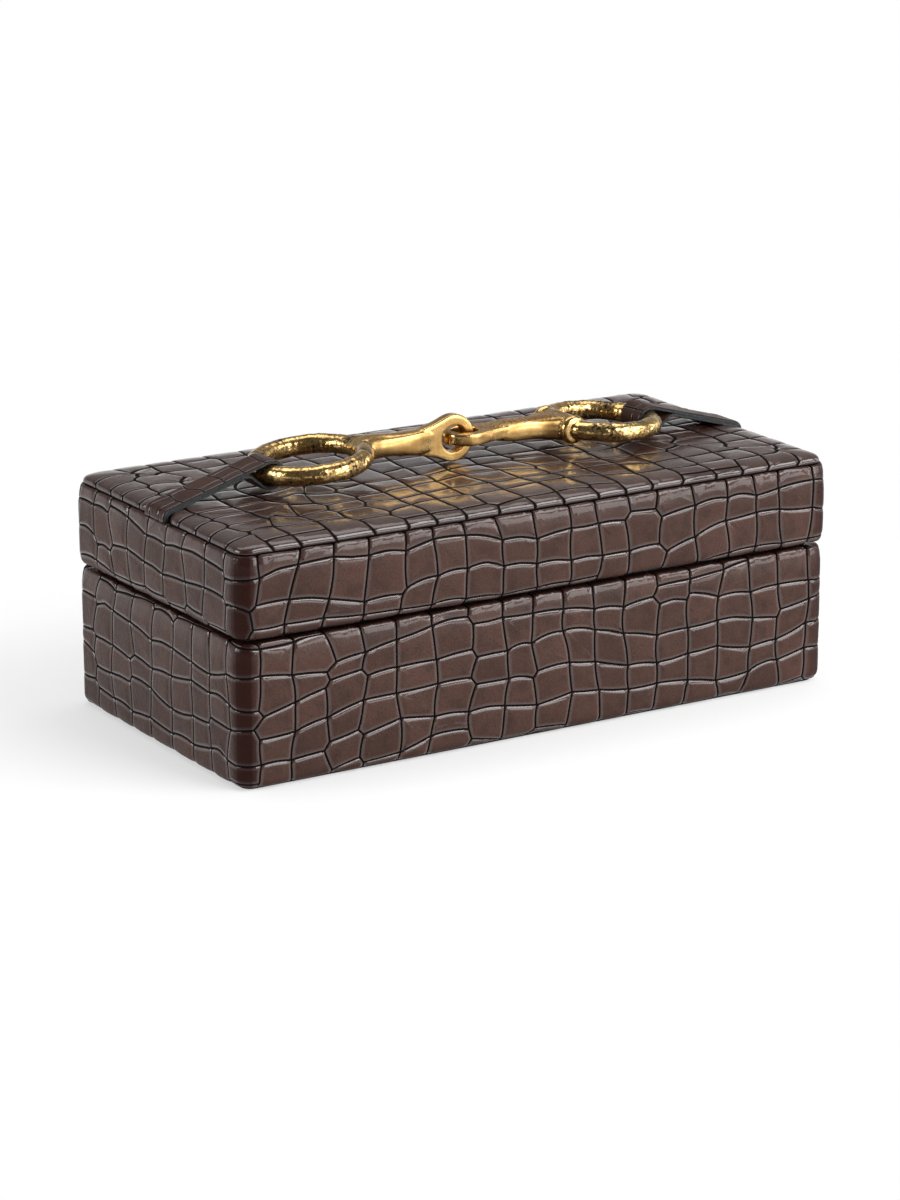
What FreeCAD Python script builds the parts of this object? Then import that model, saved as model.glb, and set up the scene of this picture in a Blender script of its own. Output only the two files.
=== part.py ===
import FreeCAD, Part
import math
import os

# Leather-covered storage box with a lift-off lid and a snaffle-bit handle.
# Millimetres, +Z up, +X along the length. The origin is the middle of the underside.
# A neck of lined panels rises out of the base and carries the lid, so that an even gap stays
# between the two rims. The handle is two linked castings, held in leather straps on the lid.

# Base
BOX_LENGTH = 300.0
BOX_DEPTH = 149.0
BASE_HEIGHT = 63.4
CORNER_RADIUS = 7.5
WALL = 6.0
LEATHER = 1.4
BASE_RIM_RADIUS = 1.3
BASE_FOOT_RADIUS = 2.0
FELT = 1.0
FELT_INSET = 3.0
BOTTOM_BOARD = 5.4
FLOOR_PAD = 2.0
LINING = 2.0
NECK_RISE = 10.0
NECK_EDGE_RADIUS = 0.7

# Lid
REVEAL_GAP = 2.0
LID_BAND_HEIGHT = 35.8
LID_CLEARANCE = 0.6
LID_RIM_RADIUS = 1.8
LID_TOP_EDGE_RADIUS = 0.5
TOP_BOARD = 5.4
CEILING_PANEL = 2.0

# Padded top
PAD_INSET = 1.5
PAD_EDGE_HEIGHT = 0.9
PAD_HEIGHT = 5.2
PAD_SHOULDER = 45.0
PAD_FULLNESS = 6.0
PAD_COVER = 1.2
PAD_CORNER_GROWTH = 0.35
PAD_STATIONS = (0.06, 0.16, 0.35, 0.65, 1.0)

# Straps
STRAP_LAYER = 1.6
STRAP_WIDTH_AT_SEAM = 17.0
STRAP_WIDTH_AT_LOOP = 15.0
STRAP_FACE_INSET = 0.2
STRAP_NOSE_RADIUS = 4.5
STRAP_NOSE_HEIGHT = 1.7
STRAP_RETURN_ANGLE = 40.0
STRAP_TAIL = 0.7
STRAP_TAIL_LENGTH = 14.0
STRAP_CLEARANCE = 0.2
LOOP_CLEARANCE = 0.6

# Snaffle bit
HANDLE_SHIFT = 1.6
RING_SPACING = 150.6
RING_OUTER = 56.4
RING_TUBE = 8.7
LEFT_RING_LIFT = 8.2
RIGHT_RING_LIFT = 7.0
LEFT_RING_TILT = 5.3
RIGHT_RING_TILT = 3.0
EYE_OUTER = 21.4
EYE_HOLE = 12.4
EYE_THICKNESS = 5.5
EYE_EDGE_RADIUS = 1.2
EYE_FLANK_RADIUS = 60.0
EYE_SPACING = 7.0
EYE_LIFT = 0.3
LEFT_ARM_WAIST = 10.4
ARM_INSET = 0.3
FORK_WIDTH = 22.0
FORK_SHOULDER_WIDTH = 14.5
FORK_HEIGHT = 11.4
LEFT_PALM = 12.4
RIGHT_PALM = 12.0
RIGHT_ARM_WIDTH = 12.4
RIGHT_ARM_HEIGHT = 9.4
ROUND_SECTION = 2.2
FLAT_SECTION = 3.6
BARREL_LENGTH = 27.0
BARREL_RADIUS = 6.0
BARREL_NECK_RADIUS = 5.7
BARREL_COLLAR_RADIUS = 6.5
BARREL_END_RADIUS = 4.9
BARREL_COLLAR_WIDTH = 4.0

# Places that follow from the sizes above
HALF_LENGTH = BOX_LENGTH / 2
HALF_DEPTH = BOX_DEPTH / 2
INNER_LENGTH = HALF_LENGTH - LEATHER - WALL
INNER_DEPTH = HALF_DEPTH - LEATHER - WALL
BOTTOM_TOP = FELT + BOTTOM_BOARD
NECK_TOP = BASE_HEIGHT + NECK_RISE
LID_HALF_LENGTH = HALF_LENGTH + LID_CLEARANCE
LID_HALF_DEPTH = HALF_DEPTH + LID_CLEARANCE
LID_INNER_LENGTH = INNER_LENGTH + LID_CLEARANCE
LID_INNER_DEPTH = INNER_DEPTH + LID_CLEARANCE
LID_CORNER_RADIUS = CORNER_RADIUS + LID_CLEARANCE
LID_LOW = BASE_HEIGHT + REVEAL_GAP
LID_TOP = LID_LOW + LID_BAND_HEIGHT
LID_BOARD_LOW = LID_TOP - TOP_BOARD
CEILING_LOW = LID_BOARD_LOW - CEILING_PANEL
PAD_TOP = LID_TOP + PAD_HEIGHT
RING_TUBE_RADIUS = RING_TUBE / 2
RING_RADIUS = RING_OUTER / 2 - RING_TUBE_RADIUS
PIVOT_REACH = RING_SPACING / 2 + RING_RADIUS
EYE_RADIUS = EYE_OUTER / 2
EYE_MIDDLE = (EYE_RADIUS + EYE_HOLE / 2) / 2
EYE_Z = PAD_TOP + EYE_LIFT + EYE_RADIUS
LEFT, RIGHT = -1, 1
RING_LIFT = {LEFT: LEFT_RING_LIFT, RIGHT: RIGHT_RING_LIFT}
RING_TILT = {LEFT: LEFT_RING_TILT, RIGHT: RIGHT_RING_TILT}


def point(x, y, z):
    """Make a vector."""
    return FreeCAD.Vector(x, y, z)


def rounded_wire(half_x, half_y, radius, z):
    """Draw a rectangle with arc corners, centred on the Z axis."""
    x, y = half_x - radius, half_y - radius
    slant = radius * math.sqrt(0.5)
    edges = []
    for turn, (run, side) in enumerate(((y, x), (x, y), (y, x), (x, y))):
        reach = side + radius
        quarter = FreeCAD.Rotation(point(0, 0, 1), 90 * turn)
        start, end = point(reach, -run, z), point(reach, run, z)
        bend = point(side + slant, run + slant, z)
        stop = point(side, run + radius, z)
        edges.append(Part.makeLine(quarter.multVec(start), quarter.multVec(end)))
        corner = Part.Arc(quarter.multVec(end), quarter.multVec(bend), quarter.multVec(stop))
        edges.append(corner.toShape())
    return Part.Wire(edges)


def rounded_block(half_x, half_y, radius, low, high):
    """Make an upright block with rounded corners."""
    face = Part.Face(rounded_wire(half_x, half_y, radius, low))
    return face.extrude(point(0, 0, high - low))


def box(low, high):
    """Make a plain box between two corners."""
    size = [b - a for a, b in zip(low, high)]
    return Part.makeBox(*size, point(*low))


def centred_box(half_x, half_y, low, high):
    """Make a plain box that is centred on the Z axis."""
    return box((-half_x, -half_y, low), (half_x, half_y, high))


def round_level(shape, z, radius):
    """Round every edge that lies at one height."""
    edges = []
    for edge in shape.Edges:
        if abs(edge.BoundBox.ZMin - z) < 1e-6 and abs(edge.BoundBox.ZMax - z) < 1e-6:
            edges.append(edge)
    return shape.makeFillet(radius, edges)


def mitred_frame(block, half_x, half_y, thickness, low, high):
    """Cut a block into the four boards of a frame with mitred corners."""
    in_x, in_y = half_x - thickness, half_y - thickness
    outlines = {
        "front": ((-half_x, -half_y), (half_x, -half_y), (in_x, -in_y), (-in_x, -in_y)),
        "back": ((half_x, half_y), (-half_x, half_y), (-in_x, in_y), (in_x, in_y)),
        "left": ((-half_x, half_y), (-half_x, -half_y), (-in_x, -in_y), (-in_x, in_y)),
        "right": ((half_x, -half_y), (half_x, half_y), (in_x, in_y), (in_x, -in_y)),
    }
    boards = {}
    for side, outline in outlines.items():
        corners = [point(x, y, low) for x, y in outline]
        board = Part.Face(Part.makePolygon(corners + corners[:1])).extrude(point(0, 0, high - low))
        boards[side] = board.common(block)
    return boards


def leather_sleeve(half_x, half_y, radius, low, high, low_round, high_round):
    """Wrap leather round a frame of boards and turn it over both edges, up to the inner faces."""
    skin = rounded_block(half_x, half_y, radius, low, high)
    skin = round_level(round_level(skin, low, low_round), high, high_round)
    frame = rounded_block(half_x - LEATHER, half_y - LEATHER, radius - LEATHER, low + LEATHER, high - LEATHER)
    hollow = centred_box(half_x - LEATHER - WALL, half_y - LEATHER - WALL, low, high)
    return skin.cut(frame).cut(hollow)


def base_pieces():
    """Build the base: walls, boards, leather, felt and the lined neck."""
    half_x, half_y = HALF_LENGTH - LEATHER, HALF_DEPTH - LEATHER
    low, high = FELT + LEATHER, BASE_HEIGHT - LEATHER
    block = rounded_block(half_x, half_y, CORNER_RADIUS - LEATHER, low, high)
    pieces = {}
    for side, board in mitred_frame(block, half_x, half_y, WALL, low, high).items():
        pieces[f"base_{side}_wall"] = board
    pieces["base_bottom_board"] = centred_box(INNER_LENGTH, INNER_DEPTH, FELT, BOTTOM_TOP)
    pieces["base_leather_wrap"] = leather_sleeve(
        HALF_LENGTH, HALF_DEPTH, CORNER_RADIUS, FELT, BASE_HEIGHT, BASE_FOOT_RADIUS, BASE_RIM_RADIUS
    )
    pieces["base_felt_sole"] = rounded_block(
        HALF_LENGTH - FELT_INSET, HALF_DEPTH - FELT_INSET, CORNER_RADIUS - FELT_INSET, 0, FELT
    )
    neck = centred_box(INNER_LENGTH, INNER_DEPTH, BOTTOM_TOP, NECK_TOP)
    neck = neck.cut(centred_box(INNER_LENGTH - LINING, INNER_DEPTH - LINING, BOTTOM_TOP, NECK_TOP))
    neck = round_level(neck, NECK_TOP, NECK_EDGE_RADIUS)
    for side, panel in mitred_frame(neck, INNER_LENGTH, INNER_DEPTH, LINING, BOTTOM_TOP, NECK_TOP).items():
        pieces[f"neck_{side}_panel"] = panel
    pieces["base_floor_pad"] = centred_box(
        INNER_LENGTH - LINING, INNER_DEPTH - LINING, BOTTOM_TOP, BOTTOM_TOP + FLOOR_PAD
    )
    return pieces


def lid_frame_pieces():
    """Build the lid's walls, boards, leather band and lining."""
    half_x, half_y = LID_HALF_LENGTH - LEATHER, LID_HALF_DEPTH - LEATHER
    low, high = LID_LOW + LEATHER, LID_TOP - LEATHER
    block = rounded_block(half_x, half_y, LID_CORNER_RADIUS - LEATHER, low, high)
    pieces = {}
    for side, board in mitred_frame(block, half_x, half_y, WALL, low, high).items():
        pieces[f"lid_{side}_wall"] = board
    pieces["lid_leather_band"] = leather_sleeve(
        LID_HALF_LENGTH, LID_HALF_DEPTH, LID_CORNER_RADIUS,
        LID_LOW, LID_TOP, LID_RIM_RADIUS, LID_TOP_EDGE_RADIUS
    )
    pieces["lid_top_board"] = centred_box(LID_INNER_LENGTH, LID_INNER_DEPTH, LID_BOARD_LOW, LID_TOP)
    pieces["lid_ceiling_panel"] = centred_box(LID_INNER_LENGTH, LID_INNER_DEPTH, CEILING_LOW, LID_BOARD_LOW)
    lining = LINING + LID_CLEARANCE
    block = centred_box(LID_INNER_LENGTH, LID_INNER_DEPTH, NECK_TOP, CEILING_LOW)
    boards = mitred_frame(block, LID_INNER_LENGTH, LID_INNER_DEPTH, lining, NECK_TOP, CEILING_LOW)
    for side, panel in boards.items():
        pieces[f"lid_lining_{side}"] = panel
    return pieces


def pad_form(skin):
    """Loft the crowned pad, drawn in by the thickness of its skin.

    The side rises straight to the rolled edge, and the crown then follows a power curve.
    """
    levels = [(0.0, 0.0), (0.0, PAD_EDGE_HEIGHT / 2)]
    for share in PAD_STATIONS:
        rise = (PAD_HEIGHT - PAD_EDGE_HEIGHT) * (1 - (1 - share) ** PAD_FULLNESS)
        levels.append((share * PAD_SHOULDER, PAD_EDGE_HEIGHT + rise - skin))
    wires = []
    for inset, height in levels:
        half_x = LID_HALF_LENGTH - PAD_INSET - skin - inset
        half_y = LID_HALF_DEPTH - PAD_INSET - skin - inset
        radius = LID_CORNER_RADIUS - PAD_INSET - skin + PAD_CORNER_GROWTH * inset
        wires.append(rounded_wire(half_x, half_y, radius, LID_TOP + height))
    return Part.makeLoft(wires, True, True)


def strap_room(side):
    """Make the space that a strap takes in the edge of the pad: its fold and its tucked tail."""
    half_width = STRAP_WIDTH_AT_SEAM / 2 + STRAP_CLEARANCE
    fold_x = LID_HALF_LENGTH - STRAP_FACE_INSET - 2 * STRAP_LAYER - STRAP_CLEARANCE
    tail_x = fold_x - STRAP_TAIL_LENGTH
    fold = box((fold_x, -half_width, LID_TOP), (LID_HALF_LENGTH, half_width, PAD_TOP))
    tail = box((tail_x, -half_width, LID_TOP), (fold_x, half_width, LID_TOP + STRAP_TAIL + STRAP_CLEARANCE))
    return on_side(fold.fuse(tail), side)


def on_side(shape, side):
    """Keep a shape on the right, or mirror it to the left."""
    return shape if side == RIGHT else shape.mirror(point(0, 0, 0), point(1, 0, 0))


def pad_pieces():
    """Build the foam pad and the leather cover that is stretched over it."""
    foam, cover = pad_form(PAD_COVER), pad_form(0.0)
    cover = cover.cut(foam)
    for side in (LEFT, RIGHT):
        room = strap_room(side)
        foam, cover = foam.cut(room), cover.cut(room)
    return {"lid_foam_pad": foam, "lid_top_leather": cover}


def pivot(side):
    """Find the middle of the ring's tube at its outer end, where the strap holds it."""
    return point(HANDLE_SHIFT + side * PIVOT_REACH, 0, PAD_TOP + RING_LIFT[side])


def polar(centre, radius, angle):
    """Find a point on a circle in the XZ plane, at an angle in degrees from +X towards +Z."""
    turn = math.radians(angle)
    return point(centre.x + radius * math.cos(turn), 0, centre.z + radius * math.sin(turn))


def arc(centre, radius, start, end):
    """Draw an arc in the XZ plane between two angles."""
    ends = polar(centre, radius, start), polar(centre, radius, (start + end) / 2), polar(centre, radius, end)
    return Part.Arc(*ends).toShape()


def crossing(first, first_angle, second, second_angle):
    """Find where two lines in the XZ plane cross, each given by a point and an angle."""
    a, b = math.radians(first_angle), math.radians(second_angle)
    gap = second - first
    along = (gap.x * math.sin(b) - gap.z * math.cos(b)) / math.sin(b - a)
    return first + point(math.cos(a), 0, math.sin(a)) * along


def loop_outline(radius, slope, hinge, rear, tip_start, tip_edges, tip_end):
    """Close an outline round the ring: the loop itself, with its two sides drawn to the tip's edges."""
    upper, lower = 90 - slope, STRAP_RETURN_ANGLE - 90
    edges = [
        Part.makeLine(tip_end, polar(hinge, radius, lower)),
        arc(hinge, radius, lower, -90),
        Part.makeLine(polar(hinge, radius, -90), polar(rear, radius, -90)),
        arc(rear, radius, 270, 180),
        arc(rear, radius, 180, 90),
        Part.makeLine(polar(rear, radius, 90), polar(hinge, radius, 90)),
        arc(hinge, radius, 90, upper),
        Part.makeLine(polar(hinge, radius, upper), tip_start),
    ]
    return Part.Wire(edges + tip_edges)


def strap_slab(outline):
    """Thicken a side outline of the strap to its full width."""
    face = Part.Face(outline)
    face.translate(point(0, -STRAP_WIDTH_AT_SEAM / 2, 0))
    return face.extrude(point(0, STRAP_WIDTH_AT_SEAM, 0))


def strap_plan(loop_end, hinge):
    """Make the upright prism of the strap's outline seen from above, wider at the seam."""
    seam, loop = STRAP_WIDTH_AT_SEAM / 2, STRAP_WIDTH_AT_LOOP / 2
    outline = ((loop_end, -loop), (hinge.x, -loop), (LID_HALF_LENGTH, -seam))
    outline += tuple((x, -y) for x, y in reversed(outline))
    corners = [point(x, y, LID_TOP) for x, y in outline]
    return Part.Face(Part.makePolygon(corners + corners[:1])).extrude(point(0, 0, hinge.z))


def strap(side):
    """Build a doubled strap with a loop round the ring and a folded, tucked end.

    It is drawn on the right and mirrored for the left. Both layers lie together from the fold to
    the point where they part round the ring, and the top layer is one straight run.
    """
    doubled = 2 * STRAP_LAYER
    inside = RING_TUBE / 2 + LOOP_CLEARANCE
    outside = inside + STRAP_LAYER
    sagitta = RING_RADIUS - math.sqrt(RING_RADIUS**2 - (STRAP_WIDTH_AT_LOOP / 2) ** 2)
    hinge = point(abs(pivot(side).x), 0, pivot(side).z)
    rear = hinge - point(sagitta, 0, 0)
    face_x = LID_HALF_LENGTH - STRAP_FACE_INSET
    nose = point(face_x - STRAP_NOSE_RADIUS, 0, LID_TOP + STRAP_NOSE_HEIGHT)
    run = nose - hinge
    slope = math.degrees(math.atan2(-run.z, run.x) + math.asin((outside - STRAP_NOSE_RADIUS) / run.Length))
    under_radius = STRAP_NOSE_RADIUS - doubled

    # The underside of the doubled run meets the outer face of the returning layer.
    under_start = polar(nose, under_radius, 90 - slope)
    return_outer = polar(hinge, outside, STRAP_RETURN_ANGLE - 90)
    join = crossing(under_start, -slope, return_outer, STRAP_RETURN_ANGLE)
    tail_end = face_x - doubled - STRAP_TAIL_LENGTH
    corners = [
        point(face_x, 0, nose.z),
        point(face_x, 0, LID_TOP),
        point(tail_end, 0, LID_TOP),
        point(tail_end, 0, LID_TOP + STRAP_TAIL),
        point(face_x - doubled, 0, LID_TOP + STRAP_TAIL),
        point(face_x - doubled, 0, nose.z),
    ]
    fold = [arc(nose, STRAP_NOSE_RADIUS, 90 - slope, 0)]
    fold += [Part.makeLine(a, b) for a, b in zip(corners, corners[1:])]
    fold += [arc(nose, under_radius, 0, 90 - slope), Part.makeLine(under_start, join)]
    top_start = polar(nose, STRAP_NOSE_RADIUS, 90 - slope)
    outline = loop_outline(outside, slope, hinge, rear, top_start, fold, join)

    # The teardrop between the layers holds the ring.
    inner_top = polar(hinge, inside, 90 - slope)
    inner_low = polar(hinge, inside, STRAP_RETURN_ANGLE - 90)
    parting = crossing(inner_top, -slope, inner_low, STRAP_RETURN_ANGLE)
    hole = loop_outline(inside, slope, hinge, rear, parting, [], parting)
    blank = strap_slab(outline).cut(strap_slab(hole))
    return on_side(blank.common(strap_plan(rear.x - outside, hinge)), side)


def arm_section(place, width, height, squareness):
    """Draw one upright cross-section of an arm as a closed superellipse."""
    points = []
    for step in range(8):
        turn = math.radians(45 * step)
        across, up = math.cos(turn), math.sin(turn)
        y = width / 2 * math.copysign(abs(across) ** (2 / squareness), across)
        rise = height / 2 * math.copysign(abs(up) ** (2 / squareness), up)
        points.append(place + point(0, y, rise))
    curve = Part.BSplineCurve()
    curve.interpolate(points, PeriodicFlag=True)
    return Part.Wire(curve.toShape())


def arm(start, end, sections):
    """Loft an arm between two points through sections of (share of its length, width, height, squareness)."""
    wires = []
    for share, width, height, squareness in sections:
        wires.append(arm_section(start + (end - start) * share, width, height, squareness))
    return Part.makeLoft(wires, True, False)


def eye_plate(centre, axis, arm_way, waist):
    """Make an eye plate that runs out along its arm in two hollow flanks, still without its hole."""
    across = axis.cross(arm_way)
    low = centre - axis * (EYE_THICKNESS / 2)
    flank_up = waist / 2 - ARM_INSET + EYE_FLANK_RADIUS
    flank_out = math.sqrt((EYE_RADIUS + EYE_FLANK_RADIUS) ** 2 - flank_up**2)
    flanks, rims, ends = [], [], []
    for side in (1, -1):
        middle = low + arm_way * flank_out + across * (side * flank_up)
        rim = low + (middle - low) * (EYE_RADIUS / (EYE_RADIUS + EYE_FLANK_RADIUS))
        end = middle - across * (side * EYE_FLANK_RADIUS)
        halfway = middle + ((rim + end) / 2 - middle).normalize() * EYE_FLANK_RADIUS
        flanks.append(Part.Arc(rim, halfway, end).toShape())
        rims.append(rim)
        ends.append(end)
    head = Part.Arc(rims[0], low - arm_way * EYE_RADIUS, rims[1]).toShape()
    outline = Part.Wire([head, flanks[1], Part.makeLine(ends[1], ends[0]), flanks[0]])
    plate = Part.Face(outline).extrude(axis * EYE_THICKNESS)
    rounds = [edge for edge in plate.Edges if isinstance(edge.Curve, Part.Circle)]
    return plate.makeFillet(EYE_EDGE_RADIUS, rounds)


def eye_hole(centre, axis):
    """Make the cutter for an eye's hole."""
    return Part.makeCylinder(EYE_HOLE / 2, 2 * EYE_THICKNESS, centre - axis * EYE_THICKNESS, axis)


def ring_direction(side):
    """Find the direction across a tilted ring, from the strap towards the middle of the lid."""
    tilt = math.radians(RING_TILT[side])
    return point(-side * math.cos(tilt), 0, math.sin(tilt))


def ring(side):
    """Make one bit ring, tipped up towards the middle of the lid."""
    across = ring_direction(side)
    normal = across.cross(point(0, side, 0))
    return Part.makeTorus(RING_RADIUS, RING_TUBE / 2, pivot(side) + across * RING_RADIUS, normal)


def left_bit_half():
    """Build the left casting: a ring, an arm that forks into it, and an upright eye."""
    centre, axis = point(HANDLE_SHIFT - EYE_SPACING / 2, 0, EYE_Z), point(0, 1, 0)
    fork = pivot(LEFT) + ring_direction(LEFT) * (2 * RING_RADIUS - RING_TUBE / 4)
    palm = centre - point(EYE_MIDDLE, 0, 0)
    shank = arm(fork, palm, (
        (0.0, FORK_WIDTH, RING_TUBE - 2 * ARM_INSET, ROUND_SECTION),
        (0.18, FORK_SHOULDER_WIDTH, FORK_HEIGHT, ROUND_SECTION),
        (0.4, LEFT_ARM_WAIST, LEFT_ARM_WAIST, ROUND_SECTION),
        (0.62, LEFT_ARM_WAIST, LEFT_ARM_WAIST, FLAT_SECTION),
        (0.82, (LEFT_ARM_WAIST + EYE_THICKNESS) / 2, (LEFT_ARM_WAIST + LEFT_PALM) / 2, FLAT_SECTION),
        (1.0, EYE_THICKNESS - ARM_INSET, LEFT_PALM, FLAT_SECTION),
    ))
    casting = ring(LEFT).fuse([shank, eye_plate(centre, axis, point(-1, 0, 0), LEFT_ARM_WAIST)])
    return casting.cut(eye_hole(centre, axis)).removeSplitter()


def barrel(centre):
    """Turn the barrel between ring and arm, with a raised collar near each end."""
    half = BARREL_LENGTH / 2
    crest, neck = half - BARREL_COLLAR_WIDTH / 2, half - BARREL_COLLAR_WIDTH
    rows = ((-half, BARREL_END_RADIUS), (-crest, BARREL_COLLAR_RADIUS), (-neck, BARREL_NECK_RADIUS))
    rows += ((0.0, BARREL_RADIUS),) + tuple((-y, radius) for y, radius in reversed(rows))
    places = [centre + point(radius, y, 0) for y, radius in rows]
    ends = centre + point(0, -half, 0), centre + point(0, half, 0)
    edges = [Part.makeLine(ends[0], places[0])]
    edges += [Part.Arc(*places[first:first + 3]).toShape() for first in (0, 2, 4)]
    edges += [Part.makeLine(places[-1], ends[1]), Part.makeLine(ends[1], ends[0])]
    return Part.Face(Part.Wire(edges)).revolve(centre, point(0, 1, 0), 360)


def right_bit_half():
    """Build the right casting: a ring, a barrel, an arm that spreads into it, and a flat eye."""
    centre, axis = point(HANDLE_SHIFT + EYE_SPACING / 2, 0, EYE_Z), point(0, 0, 1)
    ring_at_end = math.sqrt(RING_RADIUS**2 - (BARREL_LENGTH / 2) ** 2)
    root = pivot(RIGHT) + ring_direction(RIGHT) * (RING_RADIUS + (RING_RADIUS + ring_at_end) / 2)
    palm = centre + point(EYE_MIDDLE, 0, 0)
    spread = BARREL_LENGTH - 2 * BARREL_COLLAR_WIDTH
    shank = arm(root, palm, (
        (0.0, spread, 2 * (BARREL_NECK_RADIUS - ARM_INSET), FLAT_SECTION),
        (0.14, spread - ARM_INSET, 2 * (BARREL_NECK_RADIUS - ARM_INSET), FLAT_SECTION),
        (0.36, RIGHT_ARM_WIDTH, RIGHT_ARM_HEIGHT, FLAT_SECTION),
        (0.6, RIGHT_ARM_WIDTH, RIGHT_ARM_HEIGHT, FLAT_SECTION),
        (0.82, (RIGHT_ARM_WIDTH + RIGHT_PALM) / 2, (RIGHT_ARM_HEIGHT + EYE_THICKNESS) / 2, FLAT_SECTION),
        (1.0, RIGHT_PALM, EYE_THICKNESS - ARM_INSET, FLAT_SECTION),
    ))
    plate = eye_plate(centre, axis, point(1, 0, 0), RIGHT_ARM_WIDTH)
    casting = ring(RIGHT).fuse([barrel(root), shank, plate])
    return casting.cut(eye_hole(centre, axis)).removeSplitter()


def all_pieces():
    """Build every piece of the box by its name."""
    pieces = base_pieces()
    pieces.update(lid_frame_pieces())
    pieces.update(pad_pieces())
    pieces["left_strap"] = strap(LEFT)
    pieces["right_strap"] = strap(RIGHT)
    pieces["left_bit_half"] = left_bit_half()
    pieces["right_bit_half"] = right_bit_half()
    return pieces


os.makedirs("parts", exist_ok=True)
for name, shape in all_pieces().items():
    solids = shape.Solids
    print(f"{name}: {len(solids)} solid, valid {shape.isValid()}, {shape.Volume / 1000:.2f} cm3")
    solid = solids[0] if len(solids) == 1 else shape
    solid.exportStep(f"parts/{name}.step")
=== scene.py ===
"""Looks of the leather-covered storage box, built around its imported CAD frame.

Sizes are in millimetres and follow the CAD frame. A finished mesh is in metres, in the frame's own place.
"""

import logging
import math
import random
from contextlib import contextmanager
from dataclasses import dataclass, field
from enum import Enum
from typing import Callable, Iterator, Sequence

import bmesh
import bpy
import numpy as np
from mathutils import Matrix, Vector, noise

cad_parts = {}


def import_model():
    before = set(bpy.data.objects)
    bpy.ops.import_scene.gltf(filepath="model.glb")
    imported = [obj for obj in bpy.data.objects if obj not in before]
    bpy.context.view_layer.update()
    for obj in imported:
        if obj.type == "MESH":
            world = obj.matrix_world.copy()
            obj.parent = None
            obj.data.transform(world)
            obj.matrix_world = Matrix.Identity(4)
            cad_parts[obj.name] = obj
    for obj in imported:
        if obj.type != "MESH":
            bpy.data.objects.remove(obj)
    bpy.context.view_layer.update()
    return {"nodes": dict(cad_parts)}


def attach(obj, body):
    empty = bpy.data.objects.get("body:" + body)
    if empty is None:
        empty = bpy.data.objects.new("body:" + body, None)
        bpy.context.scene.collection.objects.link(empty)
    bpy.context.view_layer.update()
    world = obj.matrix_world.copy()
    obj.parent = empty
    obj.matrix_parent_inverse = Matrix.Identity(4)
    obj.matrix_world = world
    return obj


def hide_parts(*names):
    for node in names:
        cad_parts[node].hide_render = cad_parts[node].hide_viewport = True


LOG = logging.getLogger("storage_box")
MM = 0.001
WELD = 1e-6
SMOOTH_ANGLE = math.radians(62)

Colour = tuple[float, float, float, float]
Place = tuple[float, float, float]
Shape = Callable[[np.ndarray], np.ndarray]


def srgb(red: int, green: int, blue: int) -> Colour:
    """Turn a colour as a screen shows it into the linear values that shaders use.

    Args:
        red, green, blue: screen values from 0 to 255.

    Returns:
        The linear colour with an alpha of 1.
    """
    linear = []
    for value in (red, green, blue):
        share = value / 255
        linear.append(share / 12.92 if share <= 0.04045 else ((share + 0.055) / 1.055) ** 2.4)
    return (linear[0], linear[1], linear[2], 1.0)


# Shader maths


class Value:
    """A number that varies over a surface, held as a socket of a shader's node tree."""

    def __init__(self, nodes: "Nodes", socket: bpy.types.NodeSocket) -> None:
        """Hold a socket of one node tree."""
        self.nodes = nodes
        self.socket = socket

    def __add__(self, other: "Value | float") -> "Value":
        """Add."""
        return self.nodes.math("ADD", self, other)

    __radd__ = __add__

    def __mul__(self, other: "Value | float") -> "Value":
        """Multiply."""
        return self.nodes.math("MULTIPLY", self, other)

    __rmul__ = __mul__

    def __sub__(self, other: "Value | float") -> "Value":
        """Take the other number away."""
        return self.nodes.math("SUBTRACT", self, other)

    def __rsub__(self, other: float) -> "Value":
        """Take this number away from a plain one."""
        return self.nodes.math("SUBTRACT", other, self)

    def clamped(self) -> "Value":
        """Keep the number between 0 and 1."""
        return self.nodes.math("ADD", self, 0.0, clamp=True)


class Nodes:
    """Fills one node tree."""

    def __init__(self, owner: bpy.types.Material | bpy.types.World) -> None:
        """Start an empty tree in a material or a world."""
        owner.use_nodes = True
        self.tree = owner.node_tree
        self.tree.nodes.clear()

    def node(self, kind: str, settings: dict | None = None, sockets: dict | None = None) -> bpy.types.Node:
        """Add a node.

        Args:
            kind: Blender's type name of the node.
            settings: attributes that are set before any socket.
            sockets: values or links by the name or number of an input.

        Returns:
            The new node.
        """
        made = self.tree.nodes.new(kind)
        for key, value in (settings or {}).items():
            setattr(made, key, value)
        for key, value in (sockets or {}).items():
            source = value.socket if isinstance(value, Value) else value
            if isinstance(source, bpy.types.NodeSocket):
                self.tree.links.new(source, made.inputs[key])
            else:
                made.inputs[key].default_value = source
        return made

    def math(self, operation: str, first: Value | float, second: Value | float,
             clamp: bool = False) -> Value:
        """Add a Math node and return its result."""
        settings = {"operation": operation, "use_clamp": clamp}
        return Value(self, self.node("ShaderNodeMath", settings, {0: first, 1: second}).outputs[0])

    def step(self, value: Value, low: float, high: float) -> Value:
        """Rise smoothly from 0 at low to 1 at high."""
        settings = {"interpolation_type": "SMOOTHSTEP"}
        sockets = {"Value": value, "From Min": low, "From Max": high}
        return Value(self, self.node("ShaderNodeMapRange", settings, sockets).outputs[0])

    def rays(self, *kinds: str) -> Value:
        """Tell rays of some kinds, at 1, from all others, at 0."""
        path = self.node("ShaderNodeLightPath")
        found = [Value(self, path.outputs[kind]) for kind in kinds]
        return sum(found[1:], found[0]).clamped()


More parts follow.
